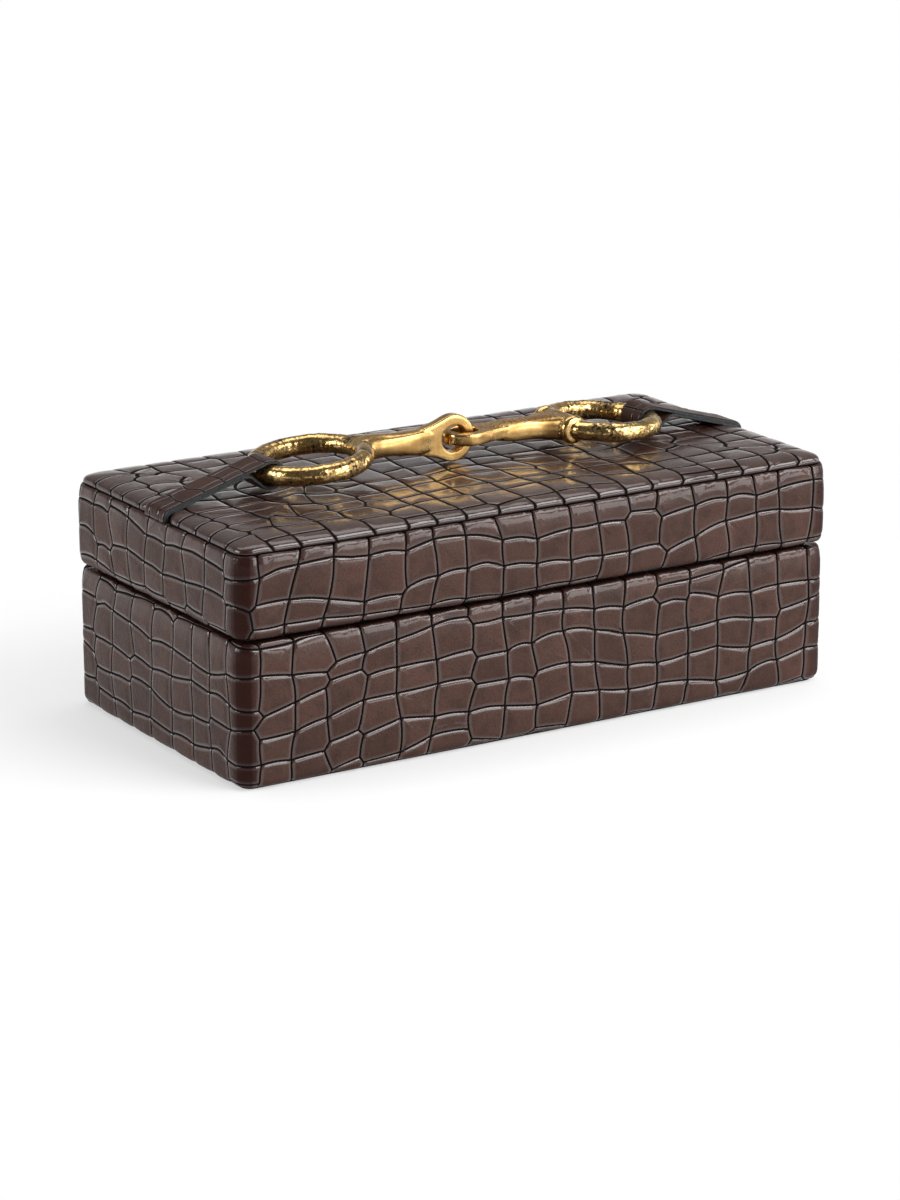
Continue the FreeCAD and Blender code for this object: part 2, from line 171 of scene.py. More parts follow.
class Shader(Nodes):
    """Builds one material from nodes."""

    def __init__(self, name: str) -> None:
        """Start an empty material.

        Args:
            name: the material's name.
        """
        self.material = bpy.data.materials.new(name)
        super().__init__(self.material)
        self.place = self.node("ShaderNodeTexCoord").outputs["Object"]

    def attribute(self, name: str) -> Value:
        """Read a number that the mesh itself holds."""
        return Value(self, self.node("ShaderNodeAttribute", {"attribute_name": name}).outputs["Fac"])

    def stretched(self, scale: tuple[float, float, float]) -> bpy.types.NodeSocket:
        """Stretch the object's coordinates along its axes."""
        return self.node("ShaderNodeMapping", None, {"Vector": self.place, "Scale": scale}).outputs[0]

    def noise(self, size: float, detail: float = 3.0, rough: float = 0.5,
              vector: bpy.types.NodeSocket | None = None) -> Value:
        """Make soft noise.

        Args:
            size: the size of its features in millimetres.
            detail: how many finer layers it has.
            rough: how strong those layers are.
            vector: other coordinates than the object's own.

        Returns:
            Noise around a half.
        """
        sockets = {"Vector": vector or self.place, "Scale": 1 / (size * MM)}
        sockets |= {"Detail": detail, "Roughness": rough}
        return Value(self, self.node("ShaderNodeTexNoise", None, sockets).outputs[0])

    def mix(self, first: object, second: object, share: Value | float) -> bpy.types.NodeSocket:
        """Mix two colours, from the first at 0 to the second at 1."""
        settings = {"data_type": "RGBA"}
        return self.node("ShaderNodeMix", settings, {0: share, 6: first, 7: second}).outputs[2]

    def bump(self, height: Value, depth: float,
             under: bpy.types.NodeSocket | None = None) -> bpy.types.NodeSocket:
        """Turn a height into a bump.

        Args:
            height: the height from 0 to 1.
            depth: how far 1 stands above 0, in millimetres.
            under: a bump that this one lies on.

        Returns:
            The bumped normal.
        """
        sockets = {"Height": height, "Distance": depth * MM, "Strength": 1.0}
        if under is not None:
            sockets["Normal"] = under
        return self.node("ShaderNodeBump", None, sockets).outputs[0]

    def surface(self, sockets: dict, second: dict | None = None,
                share: Value | None = None) -> bpy.types.Material:
        """Finish the material with a principled surface, or with two that share it.

        Args:
            sockets: the surface's own inputs.
            second: the inputs of another surface.
            share: how much of that other surface shows.

        Returns:
            The finished material.
        """
        shader = self.node("ShaderNodeBsdfPrincipled", None, sockets)
        if second is not None:
            other = self.node("ShaderNodeBsdfPrincipled", None, second)
            both = {0: share, 1: shader.outputs[0], 2: other.outputs[0]}
            shader = self.node("ShaderNodeMixShader", None, both)
        self.node("ShaderNodeOutputMaterial", None, {"Surface": shader.outputs[0]})
        return self.material


# Finishes


@dataclass(frozen=True)
class EmbossedLeather:
    """Glossy brown hide with scales pressed into it."""

    name: str = "embossed_leather"
    hide: Colour = srgb(58, 37, 30)
    bloom: Colour = srgb(74, 50, 42)
    dusk: Colour = srgb(40, 26, 23)
    # Dark red-brown of rubbed leather, also used as painted shade and painted dark reflection on corners,
    # rims and the top's rolled edge.
    rub_and_shade_red: Colour = srgb(38, 14, 9)
    groove: Colour = srgb(5, 3, 3)
    roughness: float = 0.32
    specular: float = 0.13
    coat: float = 0.06
    lip_coat: float = 0.9
    coat_roughness: float = 0.14
    coat_index: float = 1.6
    grain_depth: float = 0.27
    dull_roughness: float = 0.6
    dull_specular: float = 0.06
    dark_corner_share: float = 0.55

    def material(self) -> bpy.types.Material:
        """Build the material: mottled, pebbled hide with dull dark grooves, and red-brown edges that are
        partly rubbed and partly painted shade and painted dark reflection.
        """
        s = Shader(self.name)
        groove, lip = s.attribute("groove"), s.attribute("lip")
        tone, rub_and_shade = s.attribute("tone"), s.attribute("rub_and_shade")
        cloud = s.step(s.noise(26.0, 4.0, 0.55), 0.36, 0.66)
        patch = s.step(s.noise(7.0, 3.0), 0.45, 0.75)
        pebble = s.noise(0.85, 2.0, 0.6)
        hide = s.mix(self.hide, self.bloom, cloud * 0.45 + tone * 0.55)
        hide = s.mix(hide, self.dusk, patch * 0.5)
        hide = s.mix(hide, self.dusk, s.step(pebble, 0.5, 0.72) * 0.5)
        # worn picks the upright corners, where the duller shader shows its dark red-brown: partly rubbing,
        # partly painted shade.
        dull, worn = s.step(groove, 0.05, 0.45), s.step(rub_and_shade, 0.92, 1.0)
        grain = s.bump(pebble * 0.8 + s.noise(2.2, 3.0) * 0.6, self.grain_depth)
        return s.surface({
            # Painted shade and painted dark reflection: the mask darkens the corners, the rims and the top's
            # rolled edge towards red-brown, besides real rubbing.
            "Base Color": s.mix(hide, self.rub_and_shade_red, rub_and_shade * 0.92),
            "Roughness": self.roughness + s.noise(3.0) * 0.12,
            "Specular IOR Level": self.specular,
            "Coat Weight": (self.coat + lip * self.lip_coat - rub_and_shade * 0.15).clamped(),
            "Coat Roughness": self.coat_roughness,
            "Coat IOR": self.coat_index,
            "Normal": grain,
        }, {
            "Base Color": s.mix(self.rub_and_shade_red, self.groove, dull),
            "Roughness": self.dull_roughness,
            "Specular IOR Level": self.dull_specular,
            "Normal": grain,
        }, (dull + worn * self.dark_corner_share).clamped())


@dataclass(frozen=True)
class PaintedEdge:
    """The strap's cut edge under thick, rough edge paint."""

    name: str = "strap_edge_paint"
    paint: Colour = srgb(20, 25, 26)
    worn: Colour = srgb(58, 65, 65)

    def material(self) -> bpy.types.Material:
        """Build the material: two darks and a crumbly bump."""
        s = Shader(self.name)
        crumbs = s.noise(0.8, 4.0, 0.7)
        return s.surface({
            "Base Color": s.mix(self.paint, self.worn, s.step(crumbs, 0.46, 0.68)),
            "Roughness": 0.5 + crumbs * 0.2,
            "Normal": s.bump(crumbs, 0.3),
        })


@dataclass(frozen=True)
class FleshSide:
    """The smooth inner side of the strap."""

    name: str = "strap_inside"
    hide: Colour = srgb(92, 62, 50)
    dark: Colour = srgb(58, 38, 32)

    def material(self) -> bpy.types.Material:
        """Build the material: a soft brown with short fibres."""
        s = Shader(self.name)
        fibres = s.noise(1.6, 4.0, 0.65, s.stretched((1.0, 3.0, 1.0)))
        return s.surface({
            "Base Color": s.mix(self.dark, self.hide, s.step(fibres, 0.3, 0.65)),
            "Roughness": 0.5 + fibres * 0.2,
            "Normal": s.bump(fibres, 0.08),
        })


@dataclass(frozen=True)
class CastBrass:
    """Polished brass casting with matte skin and dark patina where handling didn't polish it."""

    name: str = "cast_brass"
    bright: Colour = srgb(236, 198, 130)
    deep: Colour = srgb(150, 104, 48)
    patina: Colour = srgb(28, 17, 6)
    roughness: float = 0.1
    matte_roughness: float = 0.24
    satin_roughness: float = 0.17
    dark_roughness: float = 0.25
    cloud_roughness: float = 0.05

    def material(self) -> bpy.types.Material:
        """Build the material from the casting's matte, hammered and pit attributes and from its brushed
        sideways faces, which are also darkened as painted shade.
        """
        s = Shader(self.name)
        matte, satin_and_shade = s.attribute("matte"), s.attribute("satin_and_shade")
        pit, hammered = s.attribute("pit"), s.attribute("hammered")
        cloud = s.step(s.noise(9.0, 4.0, 0.6), 0.35, 0.7)
        speck = s.noise(1.1, 3.0, 0.65)
        dents = s.noise(1.5, 3.0, 0.6)
        brushed = s.noise(0.4, 3.0, 0.6, s.stretched((1.0, 1.0, 0.08)))
        skipped = s.step(dents, 0.5, 0.6) * hammered * s.step(s.noise(6.0), 0.42, 0.58)
        grains = s.step(speck, 0.5, 0.64) * (matte * 0.85 + hammered * 0.3 + 0.08)
        dark = (s.step(pit, 0.45, 0.9) * 0.6 + skipped * 0.7 + grains).clamped()
        # Painted shade: the sideways faces take a share of the deep brass besides their satin finish.
        metal = s.mix(self.bright, self.deep, cloud * 0.45 + matte * 0.5 + satin_and_shade * 0.3)
        skin = s.bump(brushed * satin_and_shade, 0.05, s.bump(speck, 0.015))
        rough_skin = s.bump(speck * matte * 1.4 + dents * hammered, 0.2, skin)
        roughness = self.roughness + matte * self.matte_roughness + satin_and_shade * self.satin_roughness
        return s.surface({
            "Base Color": s.mix(metal, self.patina, dark),
            "Metallic": 1.0 - dark * 0.25,
            "Roughness": roughness + dark * self.dark_roughness + cloud * self.cloud_roughness,
            "Normal": rough_skin,
        })


class ClothKind(Enum):
    """The cloths inside and under the box: their name, fibre size and colours."""

    SUEDE = ("black_suede", 0.5, srgb(20, 19, 20), srgb(38, 36, 37))
    FELT = ("black_felt", 1.1, srgb(22, 22, 23), srgb(46, 45, 46))


@dataclass(frozen=True)
class Cloth:
    """Short-napped cloth."""

    kind: ClothKind

    def material(self) -> bpy.types.Material:
        """Build the material: brushed patches of nap over fine fibres."""
        name, fibre, dark, pale = self.kind.value
        s = Shader(name)
        nap = s.step(s.noise(18.0, 3.0, 0.55), 0.38, 0.68)
        fuzz = s.noise(fibre, 4.0, 0.7)
        return s.surface({
            "Base Color": s.mix(dark, pale, nap * 0.5 + fuzz * 0.4),
            "Roughness": 0.9,
            "Specular IOR Level": 0.2,
            "Sheen Weight": 0.35,
            "Sheen Roughness": 0.4,
            "Normal": s.bump(fuzz, 0.25),
        })


@dataclass(frozen=True)
class Fibreboard:
    """Raw board of the walls, hidden under leather and lining."""

    name: str = "raw_fibreboard"
    pale: Colour = srgb(176, 143, 106)
    dark: Colour = srgb(120, 92, 64)

    def material(self) -> bpy.types.Material:
        """Build the material: pressed wood fibres."""
        s = Shader(self.name)
        fibres = s.noise(1.4, 5.0, 0.7, s.stretched((1.0, 1.0, 2.5)))
        return s.surface({
            "Base Color": s.mix(self.dark, self.pale, s.step(fibres, 0.3, 0.7)),
            "Roughness": 0.85,
            "Normal": s.bump(fibres, 0.15),
        })


# Modelling by hand


def mesh_object(name: str, points: Sequence[Sequence[float]],
                faces: Sequence[Sequence[int]]) -> bpy.types.Object:
    """Make a new object from points and faces and select only it.

    Args:
        name: the object's name.
        points: its points.
        faces: its faces as numbers of points.

    Returns:
        The new object.
    """
    mesh = bpy.data.meshes.new(name)
    mesh.from_pydata([tuple(p) for p in points], [], [tuple(f) for f in faces])
    made = bpy.data.objects.new(name, mesh)
    bpy.context.scene.collection.objects.link(made)
    select_only(made)
    return made


def select_only(piece: bpy.types.Object) -> None:
    """Deselect everything else and make one object the active one."""
    bpy.ops.object.select_all(action="DESELECT")
    piece.select_set(True)
    bpy.context.view_layer.objects.active = piece


@contextmanager
def editing(piece: bpy.types.Object, mode: str = "FACE") -> Iterator[None]:
    """Work on one object in edit mode, with everything in it selected at first."""
    select_only(piece)
    bpy.ops.object.mode_set(mode="EDIT")
    bpy.ops.mesh.select_mode(type=mode)
    bpy.ops.mesh.select_all(action="SELECT")
    yield
    bpy.ops.object.mode_set(mode="OBJECT")


def points_of(piece: bpy.types.Object) -> np.ndarray:
    """Read all points of a mesh."""
    flat = np.zeros(len(piece.data.vertices) * 3)
    piece.data.vertices.foreach_get("co", flat)
    return flat.reshape(-1, 3)


def move_points(piece: bpy.types.Object, points: np.ndarray) -> None:
    """Put all points of a mesh in new places."""
    piece.data.vertices.foreach_set("co", points.astype(np.float32).ravel())
    piece.data.update()


def point_attribute(piece: bpy.types.Object, name: str, values: np.ndarray) -> None:
    """Store one number per point for the material."""
    layer = piece.data.attributes.new(name, "FLOAT", "POINT")
    layer.data.foreach_set("value", values.astype(np.float32))


def polish_points(piece: bpy.types.Object, values: np.ndarray) -> None:
    """Raise the polish, which the lips of the scales already have, to at least these values."""
    layer = piece.data.attributes["lip"]
    lips = np.zeros(len(piece.data.vertices))
    layer.data.foreach_get("value", lips)
    layer.data.foreach_set("value", np.maximum(lips, values).astype(np.float32))


def apply_modifier(piece: bpy.types.Object, kind: str, settings: dict) -> None:
    """Add a modifier with its settings and apply it."""
    select_only(piece)
    made = piece.modifiers.new(kind.lower(), kind)
    for key, value in settings.items():
        setattr(made, key, value)
    bpy.ops.object.modifier_apply(modifier=made.name)


def dress(piece: bpy.types.Object, *materials: bpy.types.Material) -> None:
    """Give a mesh its materials and smooth its shading."""
    piece.data.materials.clear()
    for material in materials:
        piece.data.materials.append(material)
    select_only(piece)
    bpy.ops.object.shade_smooth_by_angle(angle=SMOOTH_ANGLE)


def select_open_rim() -> None:
    """Select the open edges of the mesh in edit mode and nothing else."""
    bpy.ops.mesh.select_all(action="DESELECT")
    bpy.ops.mesh.select_non_manifold(extend=False)


def face_outwards() -> None:
    """Turn all faces of the mesh in edit mode outwards."""
    bpy.ops.mesh.select_all(action="SELECT")
    bpy.ops.mesh.normals_make_consistent(inside=False)


def close_under(piece: bpy.types.Object, height: float | None = None) -> None:
    """Close an open mesh with one face.

    Args:
        piece: the mesh.
        height: where its rim is first drawn down to, if it is.
    """
    with editing(piece, "EDGE"):
        select_open_rim()
        if height is not None:
            bpy.ops.mesh.extrude_edges_move()
            rim = bmesh.from_edit_mesh(piece.data)
            for vertex in [v for v in rim.verts if v.select]:
                vertex.co.z = height
            bmesh.update_edit_mesh(piece.data)
        bpy.ops.mesh.edge_face_add()
        face_outwards()


def unit(rows: np.ndarray) -> np.ndarray:
    """Scale each row to a length of 1."""
    return rows / np.linalg.norm(rows, axis=1)[:, None]


def ramp(values: np.ndarray, start: float, width: float) -> np.ndarray:
    """Rise evenly from 0 at the start to 1 where the width ends."""
    return np.clip((values - start) / width, 0, 1)


# Embossed hide


class Wave(Enum):
    """Smooth random fields that bend a net: strength, size of features in millimetres and layer."""

    SLOW_DRIFT = (0.85, 95.0, 1)
    COLUMN_SHIFT = (0.3, 20.0, 2)
    QUICK_DRIFT = (0.42, 33.0, 3)
    BULGE = (0.09, 40.0, 5)
    SLOW_SWAY = (0.4, 62.0, 6)
    QUICK_SWAY = (0.16, 17.0, 7)


@dataclass
class ScaleNet:
    """The grooves of embossed hide on a flat sheet: wavy columns, each divided at heights of its own.

    A sheet that wraps closes on itself along its length.
    """

    length: float
    height: float
    column: float
    row: float
    seed: int
    wraps: bool = False
    grain: float = 2.6
    snap: float = 2.4
    kink: float = 0.11
    jitter: float = 0.13
    jog: float = 0.035
    bow: float = 0.05
    margin: float = 0.42
    arch_chance: float = 0.1
    sharpnesses: tuple[float, ...] = (1.1, 1.5, 2.0, 2.6)
    layer_gap: float = 17.3
    seed_gap: float = 3.1
    drift_gap: float = 37.0
    bulge_gap: float = 23.0
    points: list[Place] = field(default_factory=list)
    faces: list[list[int]] = field(default_factory=list)

    def __post_init__(self) -> None:
        """Draw the net."""
        self.draws = random.Random(self.seed)
        self.columns = max(2, round(self.length / self.column))
        self.pitch = self.length / self.columns
        self.rows = [self._row_lines(k) for k in range(self.columns)]
        self._join_neighbours()
        edges = [self._edge(k) for k in range(self.columns)]
        edges.append(self._copied(edges[0]) if self.wraps else self._edge(self.columns))
        for k in range(self.columns):
            self._column_faces(k, edges[k], edges[k + 1])

    def _wave(self, along: float, up: float, wave: Wave) -> float:
        """Read a smooth random field that closes on itself along the sheet's length."""
        strength, size, layer = wave.value
        turn = 2 * math.pi * along / self.length
        reach = self.length / (2 * math.pi * size)
        level = up / size + self.layer_gap * layer + self.seed_gap * self.seed
        return strength * noise.noise(Vector((reach * math.cos(turn), reach * math.sin(turn), level)))

    def _drift(self, along: float, j: int) -> float:
        """Find how far one row of scales has wandered up or down at a place along the sheet."""
        quick = self._wave(along, self.drift_gap * j, Wave.QUICK_DRIFT)
        return self.row * (self._wave(along, 0.0, Wave.SLOW_DRIFT) + quick)

    def _row_lines(self, k: int) -> list[list[float]]:
        """Choose the lines across one column: heights at left and right, a bulge and its sharpness."""
        start, end = k * self.pitch, (k + 1) * self.pitch
        shift = self.row * self._wave((start + end) / 2, 0.0, Wave.COLUMN_SHIFT)
        margin = self.margin * self.row
        lines = []
        for j in range(-3, int(self.height / self.row) + 4):
            level = (j + 0.5) * self.row + shift + self.draws.uniform(-self.jitter, self.jitter) * self.row
            bulge = 0.06 * self.draws.uniform(-0.6, 1.0) + self._wave(start, self.bulge_gap * j, Wave.BULGE)
            if self.draws.random() < self.arch_chance:
                bulge += self.draws.uniform(0.04, 0.1)
            sharpness = self.draws.choice(self.sharpnesses)
            low, high = level + self._drift(start, j), level + self._drift(end, j)
            if not lines or min(low - lines[-1][0], high - lines[-1][1]) > margin:
                lines.append([low, high, self.row * bulge, sharpness])
        return [line for line in lines if margin < min(line[:2]) and max(line[:2]) < self.height - margin]

    def _join_neighbours(self) -> None:
        """Let lines of neighbouring columns that nearly meet end at one point."""
        for k in range(0 if self.wraps else 1, self.columns):
            left, right = self.rows[k - 1], self.rows[k]
            for line in left:
                near = min(right, key=lambda other: abs(other[0] - line[1]), default=None)
                if near is None or abs(near[0] - line[1]) >= self.snap:
                    continue
                if min(left, key=lambda other: abs(near[0] - other[1])) is line:
                    line[1] = near[0] = (line[1] + near[0]) / 2

    def _edge(self, k: int) -> dict[float, int]:
        """Draw the line between two columns, drawn aside a little at each height where a row ends on it."""
        inner = self.wraps or 0 < k < self.columns
        left = self.rows[k - 1] if inner or k == self.columns else []
        right = self.rows[k] if k < self.columns else []
        heights = sorted({0.0, self.height, *(line[1] for line in left), *(line[0] for line in right)})
        places, at = [], k * self.pitch
        for height in heights:
            ends_here = [line[1] for line in left].count(height) - [line[0] for line in right].count(height)
            sway = self._wave(at, height, Wave.SLOW_SWAY) + self._wave(at, height, Wave.QUICK_SWAY)
            sway += self.draws.uniform(-self.jog, self.jog)
            sway -= ends_here * self.draws.uniform(0.3, 1.0) * self.kink
            places.append(at + (self.column * sway if inner else 0.0))
        edge = {heights[0]: self._point(places[0], heights[0])}
        for low, high, start, end in zip(heights, heights[1:], places, places[1:]):
            bow = self.draws.uniform(-self.bow, self.bow) * (high - low) if inner else 0.0
            count = max(1, round((high - low) / self.grain))
            for i in range(1, count + 1):
                share = i / count
                across = start + (end - start) * share + bow * 4 * share * (1 - share)
                up = high if i == count else low + (high - low) * share
                edge[up] = self._point(across, up)
        return edge

    def _copied(self, edge: dict[float, int]) -> dict[float, int]:
        """Repeat the first line at the far end of a sheet that wraps."""
        return {up: self._point(self.points[i][0] + self.length, up) for up, i in edge.items()}

    def _point(self, across: float, up: float) -> int:
        """Add a point and return its number."""
        self.points.append((across, up, 0.0))
        return len(self.points) - 1

    def _column_faces(self, k: int, left: dict[float, int], right: dict[float, int]) -> None:
        """Fill one column with its scales, from the bottom up."""
        ends = [[0.0, 0.0, 0.0, 2.0], *sorted(self.rows[k]), [self.height, self.height, 0.0, 2.0]]
        lines = []
        for low, high, bulge, sharpness in ends:
            start, end = self.points[left[low]], self.points[right[high]]
            count = max(1, round((end[0] - start[0]) / self.grain))
            run = [left[low]]
            for i in range(1, count):
                share = i / count
                up = low + (high - low) * share + bulge * (1 - abs(2 * share - 1) ** sharpness)
                run.append(self._point(start[0] + (end[0] - start[0]) * share, up))
            lines.append(run + [right[high]])
        for lower, upper, below, above in zip(lines, lines[1:], ends, ends[1:]):
            up_right = [right[v] for v in sorted(right) if below[1] < v < above[1]]
            down_left = [left[v] for v in sorted(left, reverse=True) if below[0] < v < above[0]]
            self.faces.append(lower + up_right + upper[::-1] + down_left)


@dataclass(frozen=True)
class Relief:
    """How deep and how soft the scales are pressed, in millimetres."""

    floor: float = 0.27
    wall: float = 0.22
    depth: float = 0.36
    lip: float = 0.38
    lip_rise: float = 0.21
    shoulder: float = 1.2
    shoulder_rise: float = 0.15
    crown_rise: float = 0.09
    tilt: float = 0.018
    crown_share: float = 0.26
    peak_share: float = 0.42

    @property
    def height(self) -> float:
        """The whole height from the floor of a groove to the middle of a scale."""
        return self.depth + self.lip_rise + self.shoulder_rise + 1.5 * self.crown_rise

    def steps(self) -> list[tuple[float, float, float, float]]:
        """List how far in and up each ring of a scale's edge goes, and how much it is groove and lip."""
        return [(self.floor, 0.0, 1.0, 0.0), (self.wall, self.depth, 0.0, 1.0),
                (self.lip, self.lip_rise, 0.0, 1.0), (self.shoulder, self.shoulder_rise, 0.0, 0.0)]


TOP_RELIEF = Relief(floor=0.45, wall=0.28, depth=0.24, lip=0.4, lip_rise=0.12,
                    shoulder=1.2, shoulder_rise=0.09, crown_rise=0.04, tilt=0.009)
STRAP_RELIEF = Relief(floor=0.16, wall=0.16, depth=0.2, lip=0.25, lip_rise=0.12,
                      shoulder=0.4, shoulder_rise=0.06, crown_rise=0.02)


class Axis(Enum):
    """The two directions of a flat sheet."""

    ALONG = (1.0, 0.0, 0.0)
    UP = (0.0, 1.0, 0.0)


class EmbossedSheet:
    """A flat sheet of hide with raised scales, which is then wrapped round its form."""

    def __init__(self, name: str, net: ScaleNet, relief: Relief = Relief()) -> None:
        """Press the scales of a net into a flat sheet.

        Args:
            name: the piece's name.
            net: the grooves.
            relief: how deep they are pressed.
        """
        self.net, self.relief = net, relief
        self.piece = mesh_object(name, net.points, net.faces)
        tones = random.Random(net.seed + 1)
        layer = self.piece.data.attributes.new("tone", "FLOAT", "FACE")
        layer.data.foreach_set("value", [tones.random() for _ in net.faces])
        point_attribute(self.piece, "groove", np.ones(len(net.points)))
        point_attribute(self.piece, "lip", np.zeros(len(net.points)))
        self.draws = random.Random(net.seed + 2)
        with editing(self.piece):
            for step in relief.steps():
                self._ring(*step)
            self._crown(relief.crown_share, relief.crown_rise)
            self._crown(relief.peak_share, relief.crown_rise / 2)
            bpy.ops.mesh.poke()
        points = points_of(self.piece)
        points[:, 2] -= relief.height
        move_points(self.piece, points)

    def _ring(self, width: float, rise: float, groove: float, lip: float) -> None:
        """Draw the edge of each scale in by an even width, cut short at sharp corners, and lift it.

        Inside its lip each scale leans a little in a direction of its own.

        Args:
            width: how far the edge moves in.
            rise: how far it is lifted.
            groove: how much the new ring belongs to the groove.
            lip: how much it belongs to the lip.
        """
        bpy.ops.mesh.inset(thickness=0.0, use_individual=True)
        scales = bmesh.from_edit_mesh(self.piece.data)
        marks = scales.verts.layers.float
        tilt = 0.0 if groove or lip else self.relief.tilt
        for scale in [f for f in scales.faces if f.select]:
            places = np.array([vertex.co for vertex in scale.verts])[:, :2]
            after = np.roll(places, -1, axis=0) - places
            after /= np.maximum(np.linalg.norm(after, axis=1), 1e-9)[:, None]
            inward = np.stack([-after[:, 1], after[:, 0]], 1)
            middle = inward + np.roll(inward, 1, axis=0)
            length = np.maximum(np.linalg.norm(middle, axis=1), 1e-6)
            reach = width * np.minimum(2 / length**2, 1.6 / length)
            lean = [self.draws.gauss(0.0, tilt), self.draws.gauss(0.0, tilt)]
            lift = rise + (places - places.mean(axis=0)) @ lean
            for vertex, step, up in zip(scale.verts, middle * reach[:, None], lift):
                vertex.co += Vector((step[0], step[1], up))
                vertex[marks["groove"]] = groove
                vertex[marks["lip"]] = lip
        bmesh.update_edit_mesh(self.piece.data)

    def _crown(self, share: float, rise: float) -> None:
        """Draw the middle of each scale in towards its centre and lift it a little."""
        bpy.ops.mesh.inset(thickness=0.0, use_individual=True)
        scales = bmesh.from_edit_mesh(self.piece.data)
        for scale in [f for f in scales.faces if f.select]:
            middle = scale.calc_center_median()
            fullness = self.draws.uniform(0.4, 1.8)
            for vertex in scale.verts:
                vertex.co = vertex.co.lerp(middle, share)
                vertex.co.z += rise * fullness
        bmesh.update_edit_mesh(self.piece.data)

    def cut(self, axis: Axis, places: Sequence[float]) -> None:
        """Cut the sheet across where it will bend.

        Args:
            axis: the direction that the cuts stand across.
            places: where they are, in millimetres.
        """
        with editing(self.piece):
            for place in places:
                bpy.ops.mesh.select_all(action="SELECT")
                bpy.ops.mesh.bisect(plane_co=[place * a for a in axis.value], plane_no=axis.value)

    def wrap(self, shape: Shape) -> bpy.types.Object:
        """Bend the sheet round its form.

        Args:
            shape: takes points as (along, up, height) and returns their places in millimetres.

        Returns:
            The piece, in metres.
        """
        move_points(self.piece, shape(points_of(self.piece)) * MM)
        with editing(self.piece, "VERT"):
            bpy.ops.mesh.remove_doubles(threshold=WELD)
        return self.piece


@dataclass(frozen=True)
class Plan:
    """A rectangle with round corners, seen from above, anticlockwise from the middle of its back."""

    half_x: float
    half_y: float
    radius: float

    def runs(self) -> list[tuple[float, tuple[float, float], float]]:
        """List its straight runs as (length, start, direction in quarter turns)."""
        x, y = self.half_x - self.radius, self.half_y - self.radius
        return [(x, (0.0, self.half_y), 2), (2 * y, (-self.half_x, y), 3), (2 * x, (-x, -self.half_y), 0),
                (2 * y, (self.half_x, -y), 1), (x, (x, self.half_y), 2)]

    @property
    def corner(self) -> float:
        """The length of one corner."""
        return self.radius * math.pi / 2

    @property
    def length(self) -> float:
        """The whole length round."""
        return sum(run[0] for run in self.runs()) + 4 * self.corner

    def bends(self, steps: int) -> list[float]:
        """List the places of cuts across the four corners."""
        places, along = [], 0.0
        for run in self.runs()[:4]:
            along += run[0]
            places += [along + self.corner * i / steps for i in range(steps + 1)]
            along += self.corner
        return places

    def follow(self, along: np.ndarray) -> tuple[np.ndarray, np.ndarray]:
        """Find places on the outline and the outward directions there.

        Args:
            along: distances round the outline.

        Returns:
            Points and unit vectors, both as rows of x and y.
        """
        along = np.mod(along, self.length)
        points, normals = np.zeros((len(along), 2)), np.zeros((len(along), 2))
        start = 0.0
        for length, (x, y), quarter in self.runs():
            turn = quarter * math.pi / 2
            forward, outward = (math.cos(turn), math.sin(turn)), (math.sin(turn), -math.cos(turn))
            on = (along >= start - 1e-9) & (along <= start + length + 1e-9)
            step = (along[on] - start)[:, None]
            points[on] = np.array([x, y]) + step * np.array(forward)
            normals[on] = outward
            start += length
            on = (along > start) & (along < start + self.corner)
            angle = turn - math.pi / 2 + (along[on] - start) / self.radius
            normals[on] = np.stack([np.cos(angle), np.sin(angle)], 1)
            middle = np.array([x, y]) + length * np.array(forward) - self.radius * np.array(outward)
            points[on] = middle + self.radius * normals[on]
            start += self.corner
        return points, normals


class Section:
    """A drawn section that a sheet follows from its edge."""

    def __init__(self, rows: np.ndarray) -> None:
        """Measure the section.

        Args:
            rows: its points as rows of inset and height.
        """
        steps = np.diff(rows, axis=0)
        tangents = unit(steps)
        self.rows = rows
        self.reach = np.concatenate([[0.0], np.cumsum(np.linalg.norm(steps, axis=1))])
        self.turned = np.concatenate([tangents[:1], (tangents[:-1] + tangents[1:]) / 2, tangents[-1:]])

    def follow(self, along: np.ndarray) -> tuple[np.ndarray, np.ndarray, np.ndarray]:
        """Find places on the section and its direction there.

        Args:
            along: distances from the section's start.

        Returns:
            Insets, heights, and unit vectors as rows of inset and height.
        """
        inset, height = (np.interp(along, self.reach, self.rows[:, i]) for i in (0, 1))
        lean = np.stack([np.interp(along, self.reach, self.turned[:, i]) for i in (0, 1)], 1)
        return inset, height, unit(lean)


